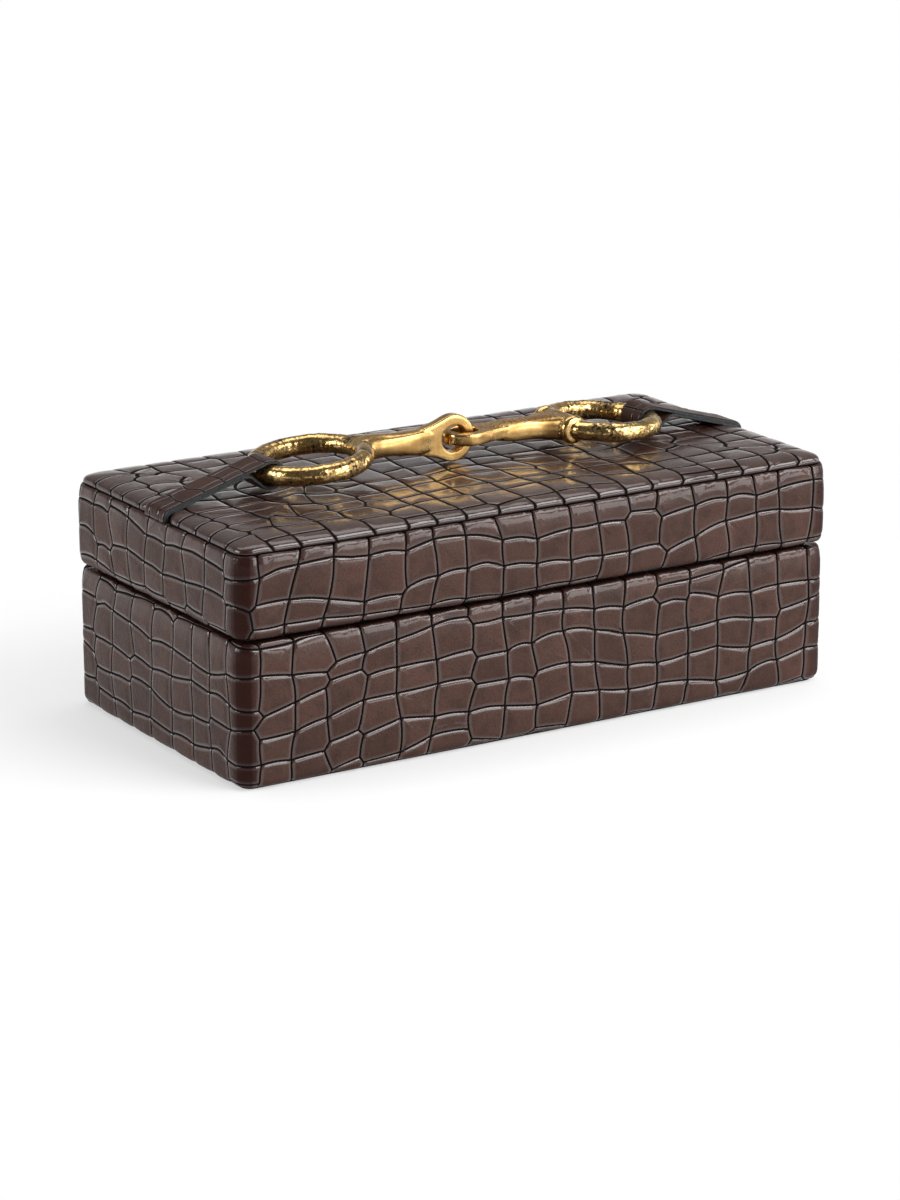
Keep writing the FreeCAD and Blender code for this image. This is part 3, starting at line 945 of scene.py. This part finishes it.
@dataclass(frozen=True)
class LeatherSleeve:
    """Leather wrapped round four walls and turned over their lower and upper edges."""

    name: str
    node: str
    body: str
    plan: Plan
    low: float
    high: float
    low_round: float
    high_round: float
    low_soft: float
    high_soft: float
    seed: int
    proud: float = 0.7
    turned: float = 7.3
    leather: float = 1.4
    corner_calm: float = 0.6
    corner_cuts: int = 8
    rim_polish: float = 0.5
    # Painted shade along both rims, darkest at their edges, besides real rubbing there.
    rim_shade: float = 0.7
    low_shade_width: float = 3.0
    high_shade_width: float = 1.2
    column: float = 16.8
    row: float = 12.6

    def section(self) -> Section:
        """Draw the section from the lower turned edge to the upper one.

        Between its rims the leather stands a little proud of the plan.
        """
        turns = [(math.sin(step * math.pi / 8), math.cos(step * math.pi / 8)) for step in range(5)]
        rows = [(self.turned + self.proud, self.low)]
        for sine, cosine in turns:
            rows.append((self.low_round * (1 - sine), self.low + self.low_soft * (1 - cosine)))
        for sine, cosine in turns:
            rows.append((self.high_round * (1 - cosine), self.high - self.high_soft * (1 - sine)))
        rows.append((self.turned + self.proud, self.high))
        return Section(np.array(rows) - np.array([self.proud, 0.0]))

    def build(self, finish: bpy.types.Material) -> bpy.types.Object:
        """Emboss, wrap and close the sleeve.

        Args:
            finish: the leather.

        Returns:
            The finished piece.
        """
        section = self.section()
        reach = section.reach
        net = ScaleNet(self.plan.length, reach[-1], self.column, self.row, self.seed, wraps=True)
        sheet = EmbossedSheet(self.name, net)
        sheet.cut(Axis.ALONG, self.plan.bends(self.corner_cuts))
        sheet.cut(Axis.UP, reach[1:-1])

        def shape(points: np.ndarray) -> np.ndarray:
            """Follow the plan along and the section up."""
            spots, outward = self.plan.follow(points[:, 0])
            inset, height, lean = section.follow(points[:, 1])
            raised = points[:, 2] * (1 - self.corner_calm * self._corner_share(points[:, 0]))
            inset = inset - raised * lean[:, 1]
            height = height + raised * lean[:, 0]
            return np.column_stack([spots - outward * inset[:, None], height])

        flat = points_of(sheet.piece)
        # Upright corners and rims are darkened red-brown: partly rubbing, partly painted shade.
        point_attribute(sheet.piece, "rub_and_shade", self._rub_and_shade(flat[:, 0], flat[:, 1], reach))
        polish_points(sheet.piece, self.rim_polish * (1 - ramp(reach[-2] - flat[:, 1], 0.0, self.high_soft)))
        piece = sheet.wrap(shape)
        self._close(piece)
        dress(piece, finish)
        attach(piece, self.body)
        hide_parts(self.node)
        return piece

    def _rub_and_shade(self, along: np.ndarray, up: np.ndarray, reach: np.ndarray) -> np.ndarray:
        """Find how far the leather is darkened red-brown on the upright corners and along both rims: partly
        rubbing, partly painted shade.
        """
        lower = np.clip(1.4 - (up - reach[1]) / self.low_shade_width, 0, 1)
        upper = 1 - ramp(reach[-2] - up, 0.0, self.high_shade_width)
        return np.maximum(self._corner_share(along), self.rim_shade * np.maximum(lower, upper))

    def _corner_share(self, along: np.ndarray) -> np.ndarray:
        """Find how much each place belongs to an upright corner, where the scales are worn flat."""
        middles = np.array(self.plan.bends(2)).reshape(4, 3)[:, 1]
        away = np.min(np.abs(along[:, None] - middles[None, :]), axis=1)
        return 1 - ramp(away, 0.25 * self.plan.corner, 0.4 * self.plan.corner)

    def _close(self, piece: bpy.types.Object) -> None:
        """Give the leather its inner side, from the upper turned edge down to the lower one."""
        inner = self.leather
        back = ((self.turned, self.high - inner), (inner, self.high - inner), (inner, self.low + inner),
                (self.turned, self.low + inner))
        middle = (self.low + self.high) / 2 * MM
        with editing(piece, "EDGE"):
            select_open_rim()
            rim = bmesh.from_edit_mesh(piece.data)
            lower = [e for e in rim.edges if e.select and e.verts[0].co.z < middle]
            for edge in lower:
                edge.select = False
            rim.select_flush_mode()
            bmesh.update_edit_mesh(piece.data)
            now = self.turned
            for inset, height in back:
                bpy.ops.mesh.extrude_edges_move()
                rim = bmesh.from_edit_mesh(piece.data)
                for vertex in [v for v in rim.verts if v.select]:
                    spot = self._nearest_on_plan(vertex.co, now, inset)
                    vertex.co = Vector((spot[0], spot[1], height * MM))
                bmesh.update_edit_mesh(piece.data)
                now = inset
            rim = bmesh.from_edit_mesh(piece.data)
            for edge in rim.edges:
                if edge.is_boundary:
                    edge.select = True
            bmesh.update_edit_mesh(piece.data)
            bpy.ops.mesh.bridge_edge_loops()
            face_outwards()

    def _nearest_on_plan(self, place: Vector, now: float, inset: float) -> tuple[float, float]:
        """Move a place from one inset of the plan to another, straight across."""
        x, y = self.plan.half_x - self.plan.radius, self.plan.half_y - self.plan.radius
        px, py = place.x / MM, place.y / MM
        core = (max(-x, min(x, px)), max(-y, min(y, py)))
        away = Vector((px - core[0], py - core[1]))
        if away.length < 1e-4:
            away = Vector((math.copysign(1.0, px), math.copysign(1.0, py)))
        away.normalize()
        reach = self.plan.radius - inset
        return ((core[0] + away.x * reach) * MM, (core[1] + away.y * reach) * MM)


@dataclass(frozen=True)
class PaddedTop:
    """The padded top of the lid: embossed leather drawn over foam, with an edge that rolls into the seam."""

    name: str = "lid_padded_top"
    half_x: float = 149.1
    half_y: float = 73.6
    corner: float = 6.6
    corner_growth: float = 0.35
    seat: float = 101.2
    top: float = 106.4
    upright: float = 0.5
    roll_width: float = 1.9
    roll_height: float = 2.9
    roll_turn: float = 62.0
    shoulder: float = 45.0
    dent: float = 2.4
    dent_half: float = 8.9
    dent_fade: float = 3.5
    dent_reach: float = 7.0
    # Painted dark reflection: the rolled edge of the top is darkened red-brown.
    darkening: float = 0.9
    darkening_width: float = 6.0
    column: float = 15.6
    row: float = 13.2
    seed: int = 37
    roll_steps: int = 6
    shoulder_steps: tuple[float, ...] = (0.03, 0.065, 0.11, 0.16, 0.22, 0.29, 0.38, 0.5, 0.7, 1.0)

    def section(self) -> Section:
        """Draw the section from the seam to the flat middle."""
        rows = [(0.0, self.seat), (0.0, self.seat + self.upright)]
        turn = math.radians(self.roll_turn)
        last = math.atan(math.tan(turn) * self.roll_height / self.roll_width)
        for step in range(1, self.roll_steps + 1):
            angle = last * step / self.roll_steps
            rise = self.roll_height * math.sin(angle)
            rows.append((self.roll_width * (1 - math.cos(angle)), self.seat + self.upright + rise))
        start, low = rows[-1]
        rest, run = self.top - low, self.shoulder - start
        fullness = run / rest / math.tan(turn)
        for share in self.shoulder_steps:
            rows.append((start + run * share, low + rest * (1 - (1 - share) ** fullness)))
        return Section(np.array(rows))

    def build(self, finish: bpy.types.Material) -> bpy.types.Object:
        """Emboss the cover, draw it over the pad and close it underneath.

        Args:
            finish: the leather.

        Returns:
            The finished piece.
        """
        section = self.section()
        reach = section.reach
        spare = reach[-1] - self.shoulder
        flat_x, flat_y = self.half_x + spare, self.half_y + spare
        net = ScaleNet(2 * flat_x, 2 * flat_y, self.column, self.row, self.seed)
        sheet = EmbossedSheet(self.name, net, TOP_RELIEF)
        sheet.cut(Axis.ALONG, [*reach[1:], *(2 * flat_x - reach[1:])])
        sheet.cut(Axis.UP, [*reach[1:], *(2 * flat_y - reach[1:])])

        def shape(points: np.ndarray) -> np.ndarray:
            """Draw the flat sheet over the pad, level by level from its edge."""
            x, y = points[:, 0] - flat_x, points[:, 1] - flat_y
            from_x, from_y = flat_x - np.abs(x), flat_y - np.abs(y)
            level = np.maximum(np.minimum(from_x, from_y), 0.0)
            inset, height, lean = section.follow(level)
            inset = np.where(level < reach[-1], inset, level - spare)
            x = x * (self.half_x - inset) / np.maximum(flat_x - level, 1e-6)
            y = y * (self.half_y - inset) / np.maximum(flat_y - level, 1e-6)
            radius = self.corner + self.corner_growth * inset
            core_x, core_y = self.half_x - inset - radius, self.half_y - inset - radius
            out_x, out_y = np.abs(x) - core_x, np.abs(y) - core_y
            bent = (out_x > 0) & (out_y > 0)
            length = np.maximum(np.hypot(out_x, out_y), 1e-9)
            side = np.where(from_x < from_y, 1.0, 0.0)
            away_x, away_y = np.where(bent, out_x / length, side), np.where(bent, out_y / length, 1 - side)
            sign_x, sign_y = np.sign(x), np.sign(y)
            x = np.where(bent, sign_x * (core_x + radius * away_x), x)
            y = np.where(bent, sign_y * (core_y + radius * away_y), y)
            push = points[:, 2] * lean[:, 1]
            x, y = x + sign_x * away_x * push, y + sign_y * away_y * push
            under = np.clip((self.dent_half + self.dent_fade - np.abs(y)) / self.dent_fade, 0, 1)
            under = under * under * (3 - 2 * under)
            dented = np.exp(-np.maximum(self.half_x - np.abs(x), 0) / self.dent_reach)
            x = x - sign_x * self.dent * under * dented
            return np.column_stack([x, y, height + points[:, 2] * lean[:, 0]])

        flat = points_of(sheet.piece)
        level = np.minimum(flat_x - np.abs(flat[:, 0] - flat_x), flat_y - np.abs(flat[:, 1] - flat_y))
        # Painted dark reflection on the rolled edge all round, darkest next to the seam and fading within a
        # few millimetres.
        point_attribute(sheet.piece, "rub_and_shade", self.darkening * np.clip(1.25 - level / self.darkening_width, 0, 1))
        polish_points(sheet.piece, np.ones(len(flat)))
        piece = sheet.wrap(shape)
        close_under(piece)
        dress(piece, finish)
        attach(piece, "lid")
        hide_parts("lid_top_leather", "lid_foam_pad")
        return piece


class Side(Enum):
    """The two ends of the lid."""

    LEFT = -1
    RIGHT = 1


@dataclass(frozen=True)
class Strap:
    """A doubled strap: it leaves the seam, runs up to the ring, loops round it and returns underneath."""

    name: str
    node: str
    side: Side
    hinge: tuple[float, float]
    seed: int
    face: float = 150.4
    seat: float = 101.3
    layer: float = 1.6
    inside: float = 4.95
    sagitta: float = 1.21
    nose_radius: float = 4.5
    nose_height: float = 102.9
    return_angle: float = 40.0
    join_radius: float = 5.0
    seam_width: float = 17.0
    loop_width: float = 15.0
    column: float = 11.5
    row: float = 7.4
    trim: float = 0.06
    edge_slope: float = 0.3
    darkening: float = 0.25

    def route(self) -> tuple[np.ndarray, list[float]]:
        """Follow the middle of the leather, drawn for the right end.

        Returns:
            Points as rows of x and z, and the distances along them where the leather bends.
        """
        hinge, radius = np.array(self.hinge), self.inside + self.layer / 2
        rear = hinge - np.array([self.sagitta, 0.0])
        nose = np.array([self.face - self.nose_radius, self.nose_height])
        outer, inner = self.nose_radius - self.layer / 2, self.nose_radius - 1.5 * self.layer
        run = nose - hinge
        slope = math.atan2(-run[1], run[0]) + math.asin((radius - outer) / math.hypot(*run))
        upper, lower = math.pi / 2 - slope, math.radians(self.return_angle) - math.pi / 2

        def arc(middle: np.ndarray, reach: float, start: float, end: float) -> list[np.ndarray]:
            """List points on an arc, about one for every ten degrees."""
            count = max(2, round(abs(end - start) / math.radians(10)))
            turns = [start + (end - start) * i / count for i in range(count + 1)]
            return [middle + reach * np.array([math.cos(t), math.sin(t)]) for t in turns]

        down = np.array([math.cos(-slope), math.sin(-slope)])
        up = np.array([math.sin(-lower), math.cos(-lower)])
        leave = hinge + radius * np.array([math.cos(lower), math.sin(lower)])
        meet = nose + inner * np.array([math.cos(upper), math.sin(upper)])
        gap = meet - leave
        along = (gap[0] * down[1] - gap[1] * down[0]) / (up[0] * down[1] - up[1] * down[0])
        corner = leave + up * along
        turn = slope + math.radians(self.return_angle)
        bend = min(self.join_radius, 0.9 * along / math.tan(turn / 2))
        middle = corner - up * bend * math.tan(turn / 2) + bend * np.array([up[1], -up[0]])
        start = math.atan2(up[0], -up[1])
        places = [np.array([self.face - self.layer / 2, self.seat])]
        places += arc(nose, outer, 0.0, upper) + arc(hinge, radius, upper, math.pi / 2)
        places += arc(rear, radius, math.pi / 2, 1.5 * math.pi)
        places += arc(hinge, radius, 1.5 * math.pi, 2 * math.pi + lower)
        places += arc(middle, bend, start, start - turn) + arc(nose, inner, upper, 0.0)
        places.append(np.array([self.face - 1.5 * self.layer, self.seat]))
        route = np.array(places)
        reach = np.concatenate([[0.0], np.cumsum(np.linalg.norm(np.diff(route, axis=0), axis=1))])
        return route, list(reach)

    def build(self, hide: bpy.types.Material, edge: bpy.types.Material,
              flesh: bpy.types.Material) -> bpy.types.Object:
        """Emboss the strip, give it its thickness and bend it along its route.

        Args:
            hide: the embossed face.
            edge: the painted edges.
            flesh: the inner side.

        Returns:
            The finished piece.
        """
        route, reach = self.route()
        net = ScaleNet(reach[-1], self.loop_width, self.column, self.row, self.seed, grain=1.9, snap=2.2)
        sheet = EmbossedSheet(self.name, net, STRAP_RELIEF)
        piece = sheet.piece
        close_under(piece, self.trim - self.layer)
        sheet.cut(Axis.ALONG, reach[1:-1])
        dress(piece, hide, edge, flesh)
        for polygon in piece.data.polygons:
            if abs(polygon.normal.z) < self.edge_slope:
                polygon.material_index = 1
            elif polygon.normal.z < 0:
                polygon.material_index = 2
        distance = np.array(reach)
        tangents = np.diff(route, axis=0)
        lengths = np.linalg.norm(tangents, axis=1)
        keep = lengths > 1e-6
        middles = (distance[:-1] + distance[1:]) / 2
        tangents = tangents[keep] / lengths[keep][:, None]

        def shape(points: np.ndarray) -> np.ndarray:
            """Follow the route with the face outwards."""
            along = points[:, 0]
            spot = np.stack([np.interp(along, distance, route[:, i]) for i in (0, 1)], 1)
            run = unit(np.stack([np.interp(along, middles[keep], tangents[:, i]) for i in (0, 1)], 1))
            off = points[:, 2] + self.layer / 2
            x, z = spot[:, 0] + off * run[:, 1], spot[:, 1] - off * run[:, 0]
            share = np.clip((spot[:, 0] - self.hinge[0]) / (self.face - self.hinge[0]), 0, 1)
            width = self.loop_width + (self.seam_width - self.loop_width) * share
            y = (points[:, 1] / self.loop_width - 0.5) * width
            return np.column_stack([x * self.side.value, -y * self.side.value, z])

        # An even darkening of the whole strap towards the same red-brown.
        point_attribute(piece, "rub_and_shade", np.full(len(piece.data.vertices), self.darkening))
        sheet.wrap(shape)
        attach(piece, "lid")
        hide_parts(self.node)
        return piece


# Cloth pieces


@dataclass(frozen=True)
class FloorPad:
    """The suede pad that lies on the floor of the base, crowned and drawn down at its edge."""

    name: str = "base_suede_pad"
    half_x: float = 140.6
    half_y: float = 65.1
    low: float = 6.4
    high: float = 8.4
    edge: float = 0.6
    shoulder: float = 9.0
    fullness: float = 2.6
    swell: float = 0.12
    swell_size: float = 38.0
    step: float = 3.0

    def build(self, finish: bpy.types.Material) -> bpy.types.Object:
        """Crown a grid over the pad and close it underneath.

        Args:
            finish: the suede.

        Returns:
            The finished piece.
        """
        bpy.ops.object.select_all(action="DESELECT")
        counts = round(2 * self.half_x / self.step), round(2 * self.half_y / self.step)
        bpy.ops.mesh.primitive_grid_add(x_subdivisions=counts[0], y_subdivisions=counts[1], size=2.0)
        piece = bpy.context.object
        piece.name = self.name
        with editing(piece, "VERT"):
            bpy.ops.transform.resize(value=(self.half_x, self.half_y, 1.0))
        points = points_of(piece)
        level = np.minimum(self.half_x - np.abs(points[:, 0]), self.half_y - np.abs(points[:, 1]))
        rise = 1 - (1 - np.clip(level / self.shoulder, 0, 1)) ** self.fullness
        spots = points[:, :2] / self.swell_size
        waves = np.array([noise.noise(Vector((x, y, 2.0))) for x, y in spots])
        crown = self.high - self.swell - self.low - self.edge
        points[:, 2] = self.low + self.edge + rise * (crown + self.swell * waves)
        move_points(piece, points * MM)
        close_under(piece, self.low * MM)
        dress(piece, finish)
        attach(piece, "base")
        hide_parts("base_floor_pad")
        return piece


@dataclass(frozen=True)
class FeltSole:
    """The felt under the base, with soft cut edges."""

    name: str = "base_felt"
    half_x: float = 147.0
    half_y: float = 71.5
    corner: float = 4.5
    high: float = 1.0
    edge: float = 0.35

    def build(self, finish: bpy.types.Material) -> bpy.types.Object:
        """Round a plane's corners, thicken it and soften its edges.

        Args:
            finish: the felt.

        Returns:
            The finished piece.
        """
        bpy.ops.object.select_all(action="DESELECT")
        bpy.ops.mesh.primitive_plane_add(size=2.0)
        piece = bpy.context.object
        piece.name = self.name
        with editing(piece, "VERT"):
            bpy.ops.transform.resize(value=(self.half_x * MM, self.half_y * MM, 1.0))
            bpy.ops.mesh.bevel(offset=self.corner * MM, segments=8, affect="VERTICES")
            bpy.ops.mesh.select_all(action="SELECT")
            bpy.ops.mesh.extrude_region_move(TRANSFORM_OT_translate={"value": (0.0, 0.0, self.high * MM)})
            face_outwards()
        softened = {"width": self.edge * MM, "segments": 3, "angle_limit": math.radians(60)}
        apply_modifier(piece, "BEVEL", softened)
        dress(piece, finish)
        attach(piece, "base")
        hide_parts("base_felt_sole")
        return piece


# Brass


@dataclass(frozen=True)
class BitHalf:
    """One half of the snaffle bit, cast and then hammered, with its junctions run into each other."""

    name: str
    node: str
    body: str
    ring_centre: Place
    ring_tilt: float
    seed: float
    flat_top: bool
    knob: tuple[float, float] | None = None
    ring_radius: float = 23.85
    tube: float = 4.35
    voxel: float = 0.42
    broad_size: float = 5.5
    broad_depth: float = 0.26
    ripple_size: tuple[float, float] = (1.6, 5.0)
    ripple_depth: float = 0.13
    fine_size: float = 1.5
    pit_depth: float = 0.22

    def build(self, nodes: dict[str, bpy.types.Object], finish: bpy.types.Material) -> bpy.types.Object:
        """Take the casting's form, soften its junctions and hammer its surface.

        Args:
            nodes: the CAD nodes.
            finish: the brass.

        Returns:
            The finished piece.
        """
        piece = bpy.data.objects.new(self.name, nodes[self.node].data.copy())
        bpy.context.scene.collection.objects.link(piece)
        with editing(piece, "VERT"):
            bpy.ops.mesh.remove_doubles(threshold=WELD)
        piece.data.remesh_voxel_size = self.voxel * MM
        bpy.ops.object.voxel_remesh()
        apply_modifier(piece, "SMOOTH", {"factor": 0.5, "iterations": 10})
        points = points_of(piece) / MM
        normals = np.zeros(len(points) * 3)
        piece.data.vertices.foreach_get("normal", normals)
        normals = normals.reshape(-1, 3)
        on_ring, around = self._ring_share(points)
        polished = self._polished(points)
        on_ring, off_ring = on_ring * (1 - polished), (1 - on_ring) * (1 - polished)
        blows = np.array([self._blow(p, t, w) for p, t, w in zip(points, around, on_ring)])
        points += normals * blows[:, None]
        move_points(piece, points * MM)
        upward = ramp(normals[:, 2], 0.72, 0.18) * off_ring
        sideways = ramp(np.abs(normals[:, 1]), 0.5, 0.3) * off_ring
        point_attribute(piece, "matte", upward * (1.0 if self.flat_top else 0.45))
        # Sideways faces: satin finish, and painted shade in the material.
        point_attribute(piece, "satin_and_shade", sideways)
        point_attribute(piece, "hammered", on_ring * (1.0 if self.flat_top else 0.75))
        point_attribute(piece, "pit", np.clip(0.5 - blows / self.pit_depth, 0, 1) * on_ring)
        dress(piece, finish)
        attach(piece, self.body)
        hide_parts(self.node)
        return piece

    def _polished(self, points: np.ndarray) -> np.ndarray:
        """Find the points that were buffed bright, round the knobs where the ring meets the barrel."""
        if self.knob is None:
            return np.zeros(len(points))
        away = np.hypot(points[:, 0] - self.knob[0], np.abs(points[:, 1]) - self.knob[1])
        return np.clip(1.9 - away / 4.5, 0, 1)

    def _ring_share(self, points: np.ndarray) -> tuple[np.ndarray, np.ndarray]:
        """Find how much each point belongs to the ring, and how far round the ring it is."""
        tilt = math.radians(self.ring_tilt)
        offset = points - np.array(self.ring_centre)
        across = offset[:, 0] * math.cos(tilt) + offset[:, 2] * math.sin(tilt)
        above = offset[:, 2] * math.cos(tilt) - offset[:, 0] * math.sin(tilt)
        distance = np.hypot(np.hypot(across, offset[:, 1]) - self.ring_radius, above)
        share = 1 - ramp(distance, 1.06 * self.tube, 0.35 * self.tube)
        return share, np.arctan2(offset[:, 1], across) * self.ring_radius

    def _blow(self, place: np.ndarray, around: float, on_ring: float) -> float:
        """Find how far the surface was hammered in or left proud at one point, in millimetres."""
        spot = Vector(place)
        along, up = self.ripple_size
        broad = noise.noise(spot / self.broad_size + Vector((self.seed, 0.0, 0.0)))
        ripple = noise.noise(Vector((around / along, place[2] / up, self.seed)))
        fine = noise.noise(spot / self.fine_size + Vector((0.0, self.seed, 0.0)))
        stipple = 0.11 if self.flat_top else 0.06
        on = self.broad_depth * broad + self.ripple_depth * ripple + stipple * fine
        return on_ring * on + (1 - on_ring) * (0.03 * broad + 0.008 * fine)


# Studio


def add_aimed(name: str, data: bpy.types.ID, place: Place, aim: Place) -> bpy.types.Object:
    """Add a lamp or a camera that faces a point.

    Args:
        name: the object's name.
        data: the lamp or camera.
        place: where it is, in metres.
        aim: the point that it faces.

    Returns:
        The new object.
    """
    made = bpy.data.objects.new(name, data)
    made.location = place
    made.rotation_euler = (Vector(aim) - Vector(place)).to_track_quat("-Z", "Y").to_euler()
    bpy.context.scene.collection.objects.link(made)
    return made


@dataclass(frozen=True)
class Lamp:
    """A soft box: its place and its two sides in metres, and its light in watts."""

    name: str
    place: Place
    sides: tuple[float, float]
    power: float
    aim: Place = (0.0, 0.0, 0.05)

    def hang(self) -> None:
        """Add the lamp to the scene."""
        data = bpy.data.lights.new(self.name, "AREA")
        data.shape = "RECTANGLE"
        data.size, data.size_y = self.sides
        data.energy = self.power
        add_aimed(self.name, data, self.place, self.aim)


@dataclass(frozen=True)
class Studio:
    """White floor, soft light and the camera at the photograph's angle."""

    camera_place: Place = (-0.91143, -1.46132, 0.54518)
    camera_aim: Place = (-0.00246, 0.0, 0.04268)
    lens: float = 120.57
    white: Colour = (1.0, 1.0, 1.0, 1.0)
    paper: Colour = (0.9, 0.9, 0.9, 1.0)
    floor_size: float = 8.0
    floor_drop: float = 0.1
    shadow_share: float = 0.55
    shadow_stretch: Place = (1.6, 1.9, 1.0)
    world_light: float = 0.3
    camera_side: float = 0.08
    far_side: float = 0.28
    horizon: float = 0.9
    heading: tuple[float, float] = (0.53, 0.85)
    lamps: tuple[Lamp, ...] = (
        Lamp("front_softbox", (0.75, -1.2, 1.1), (1.5, 0.8), 30.0),
        Lamp("low_strip", (0.85, -1.36, 0.24), (1.5, 0.32), 8.5),
        Lamp("top_softbox", (0.1, 0.35, 1.3), (1.5, 0.7), 7.0),
        Lamp("left_softbox", (-1.5, 0.3, 0.6), (0.9, 0.7), 11.0),
        Lamp("right_strip", (1.5, -0.2, 0.5), (0.3, 0.9), 4.0),
    )

    def build(self) -> None:
        """Set up the floor, the world, the lamps and the camera."""
        bpy.context.scene.view_settings.view_transform = "Standard"
        self._floor()
        self._world()
        for lamp in self.lamps:
            lamp.hang()
        self._camera()

    def _floor(self) -> None:
        """Lay the white floor, which keeps the shadow near the box and is plain white further off."""
        bpy.ops.object.select_all(action="DESELECT")
        bpy.ops.mesh.primitive_plane_add(size=self.floor_size, location=(0.0, 0.0, -self.floor_drop * MM))
        floor = bpy.context.object
        floor.name = "studio_floor"
        s = Shader("studio_white")
        round_box = {"Vector": s.stretched(self.shadow_stretch)}
        gradient = s.node("ShaderNodeTexGradient", {"gradient_type": "SPHERICAL"}, round_box)
        near = s.step(Value(s, gradient.outputs[1]), 0.25, 0.85)
        seen = s.rays("Is Camera Ray", "Is Glossy Ray", "Is Transmission Ray")
        paper = s.node("ShaderNodeBsdfDiffuse", None, {"Color": self.paper})
        white = s.node("ShaderNodeEmission", None, {"Color": self.white, "Strength": 1.0})
        share = seen * (1 - near * self.shadow_share)
        mixed = s.node("ShaderNodeMixShader", None, {0: share, 1: paper.outputs[0], 2: white.outputs[0]})
        s.node("ShaderNodeOutputMaterial", None, {"Surface": mixed.outputs[0]})
        floor.data.materials.append(s.material)

    def _world(self) -> None:
        """Light the studio softly from all round and show a white background.

        What the leather and the brass mirror is white at the horizon, dimmer above it and dimmest
        at the camera's side.
        """
        world = bpy.data.worlds.new("studio")
        bpy.context.scene.world = world
        w = Nodes(world)
        way = w.node("ShaderNodeTexCoord").outputs["Generated"]
        parts = w.node("ShaderNodeSeparateXYZ", None, {0: way})
        x, y, z = (Value(w, parts.outputs[axis]) for axis in "XYZ")
        far = w.step(x * self.heading[0] + y * self.heading[1], -0.5, 0.4)
        low = far * (1 - w.step(z, 0.08, 0.3))
        mirrored = self.camera_side + far * (self.far_side - self.camera_side)
        mirrored = mirrored + low * (self.horizon - self.far_side)
        glossy, seen = w.rays("Is Glossy Ray", "Is Transmission Ray"), w.rays("Is Camera Ray")
        strength = self.world_light + glossy * (mirrored - self.world_light)
        strength = strength + seen * (1 - self.world_light)
        sky = w.node("ShaderNodeBackground", None, {"Color": self.white, "Strength": strength})
        w.node("ShaderNodeOutputWorld", None, {0: sky.outputs[0]})

    def _camera(self) -> None:
        """Set up the camera."""
        data = bpy.data.cameras.new("camera")
        data.lens = self.lens
        data.clip_start, data.clip_end = 0.05, 50.0
        bpy.context.scene.camera = add_aimed("camera", data, self.camera_place, self.camera_aim)


def dress_nodes(nodes: dict[str, bpy.types.Object], board: bpy.types.Material,
                suede: bpy.types.Material) -> None:
    """Give the carried-over CAD nodes their materials.

    Args:
        nodes: the CAD nodes by name.
        board: the raw board of the walls.
        suede: the cloth on the card of the lining.
    """
    for name, node in nodes.items():
        node.data.materials.clear()
        node.data.materials.append(board if "wall" in name or "board" in name else suede)


def main() -> None:
    """Build every piece in order and report it."""
    logging.basicConfig(level=logging.INFO, format="%(message)s")
    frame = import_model()
    leather, suede = EmbossedLeather().material(), Cloth(ClothKind.SUEDE).material()
    dress_nodes(frame["nodes"], Fibreboard().material(), suede)
    sleeves = (
        LeatherSleeve("base_leather", "base_leather_wrap", "base", Plan(150.0, 74.5, 7.5),
                      low=1.0, high=63.4, low_round=2.4, high_round=1.9,
                      low_soft=4.0, high_soft=11.0, seed=11),
        LeatherSleeve("lid_band_leather", "lid_leather_band", "lid", Plan(150.6, 75.1, 8.1),
                      low=65.4, high=101.2, low_round=2.3, high_round=1.9,
                      low_soft=5.0, high_soft=12.0, seed=23),
    )
    made = [sleeve.build(leather) for sleeve in sleeves]
    made.append(PaddedTop().build(leather))
    made.append(FloorPad().build(suede))
    made.append(FeltSole().build(Cloth(ClothKind.FELT).material()))
    edge, flesh = PaintedEdge().material(), FleshSide().material()
    straps = (
        Strap("left_strap_leather", "left_strap", Side.LEFT, hinge=(97.55, 114.6), seed=41),
        Strap("right_strap_leather", "right_strap", Side.RIGHT, hinge=(100.75, 113.4), seed=43),
    )
    made += [strap.build(leather, edge, flesh) for strap in straps]
    brass = CastBrass().material()
    halves = (
        BitHalf("left_bit_casting", "left_bit_half", "left_bit", ring_centre=(-73.80, 0.0, 116.80),
                ring_tilt=5.3, seed=3.7, flat_top=False),
        BitHalf("right_bit_casting", "right_bit_half", "right_bit", ring_centre=(76.93, 0.0, 114.65),
                ring_tilt=-3.0, seed=9.2, flat_top=True, knob=(58.5, 12.0)),
    )
    made += [half.build(frame["nodes"], brass) for half in halves]
    for piece in made:
        LOG.info("%s: %d faces", piece.name, len(piece.data.polygons))
    Studio().build()


if __name__ == "__main__":
    main()
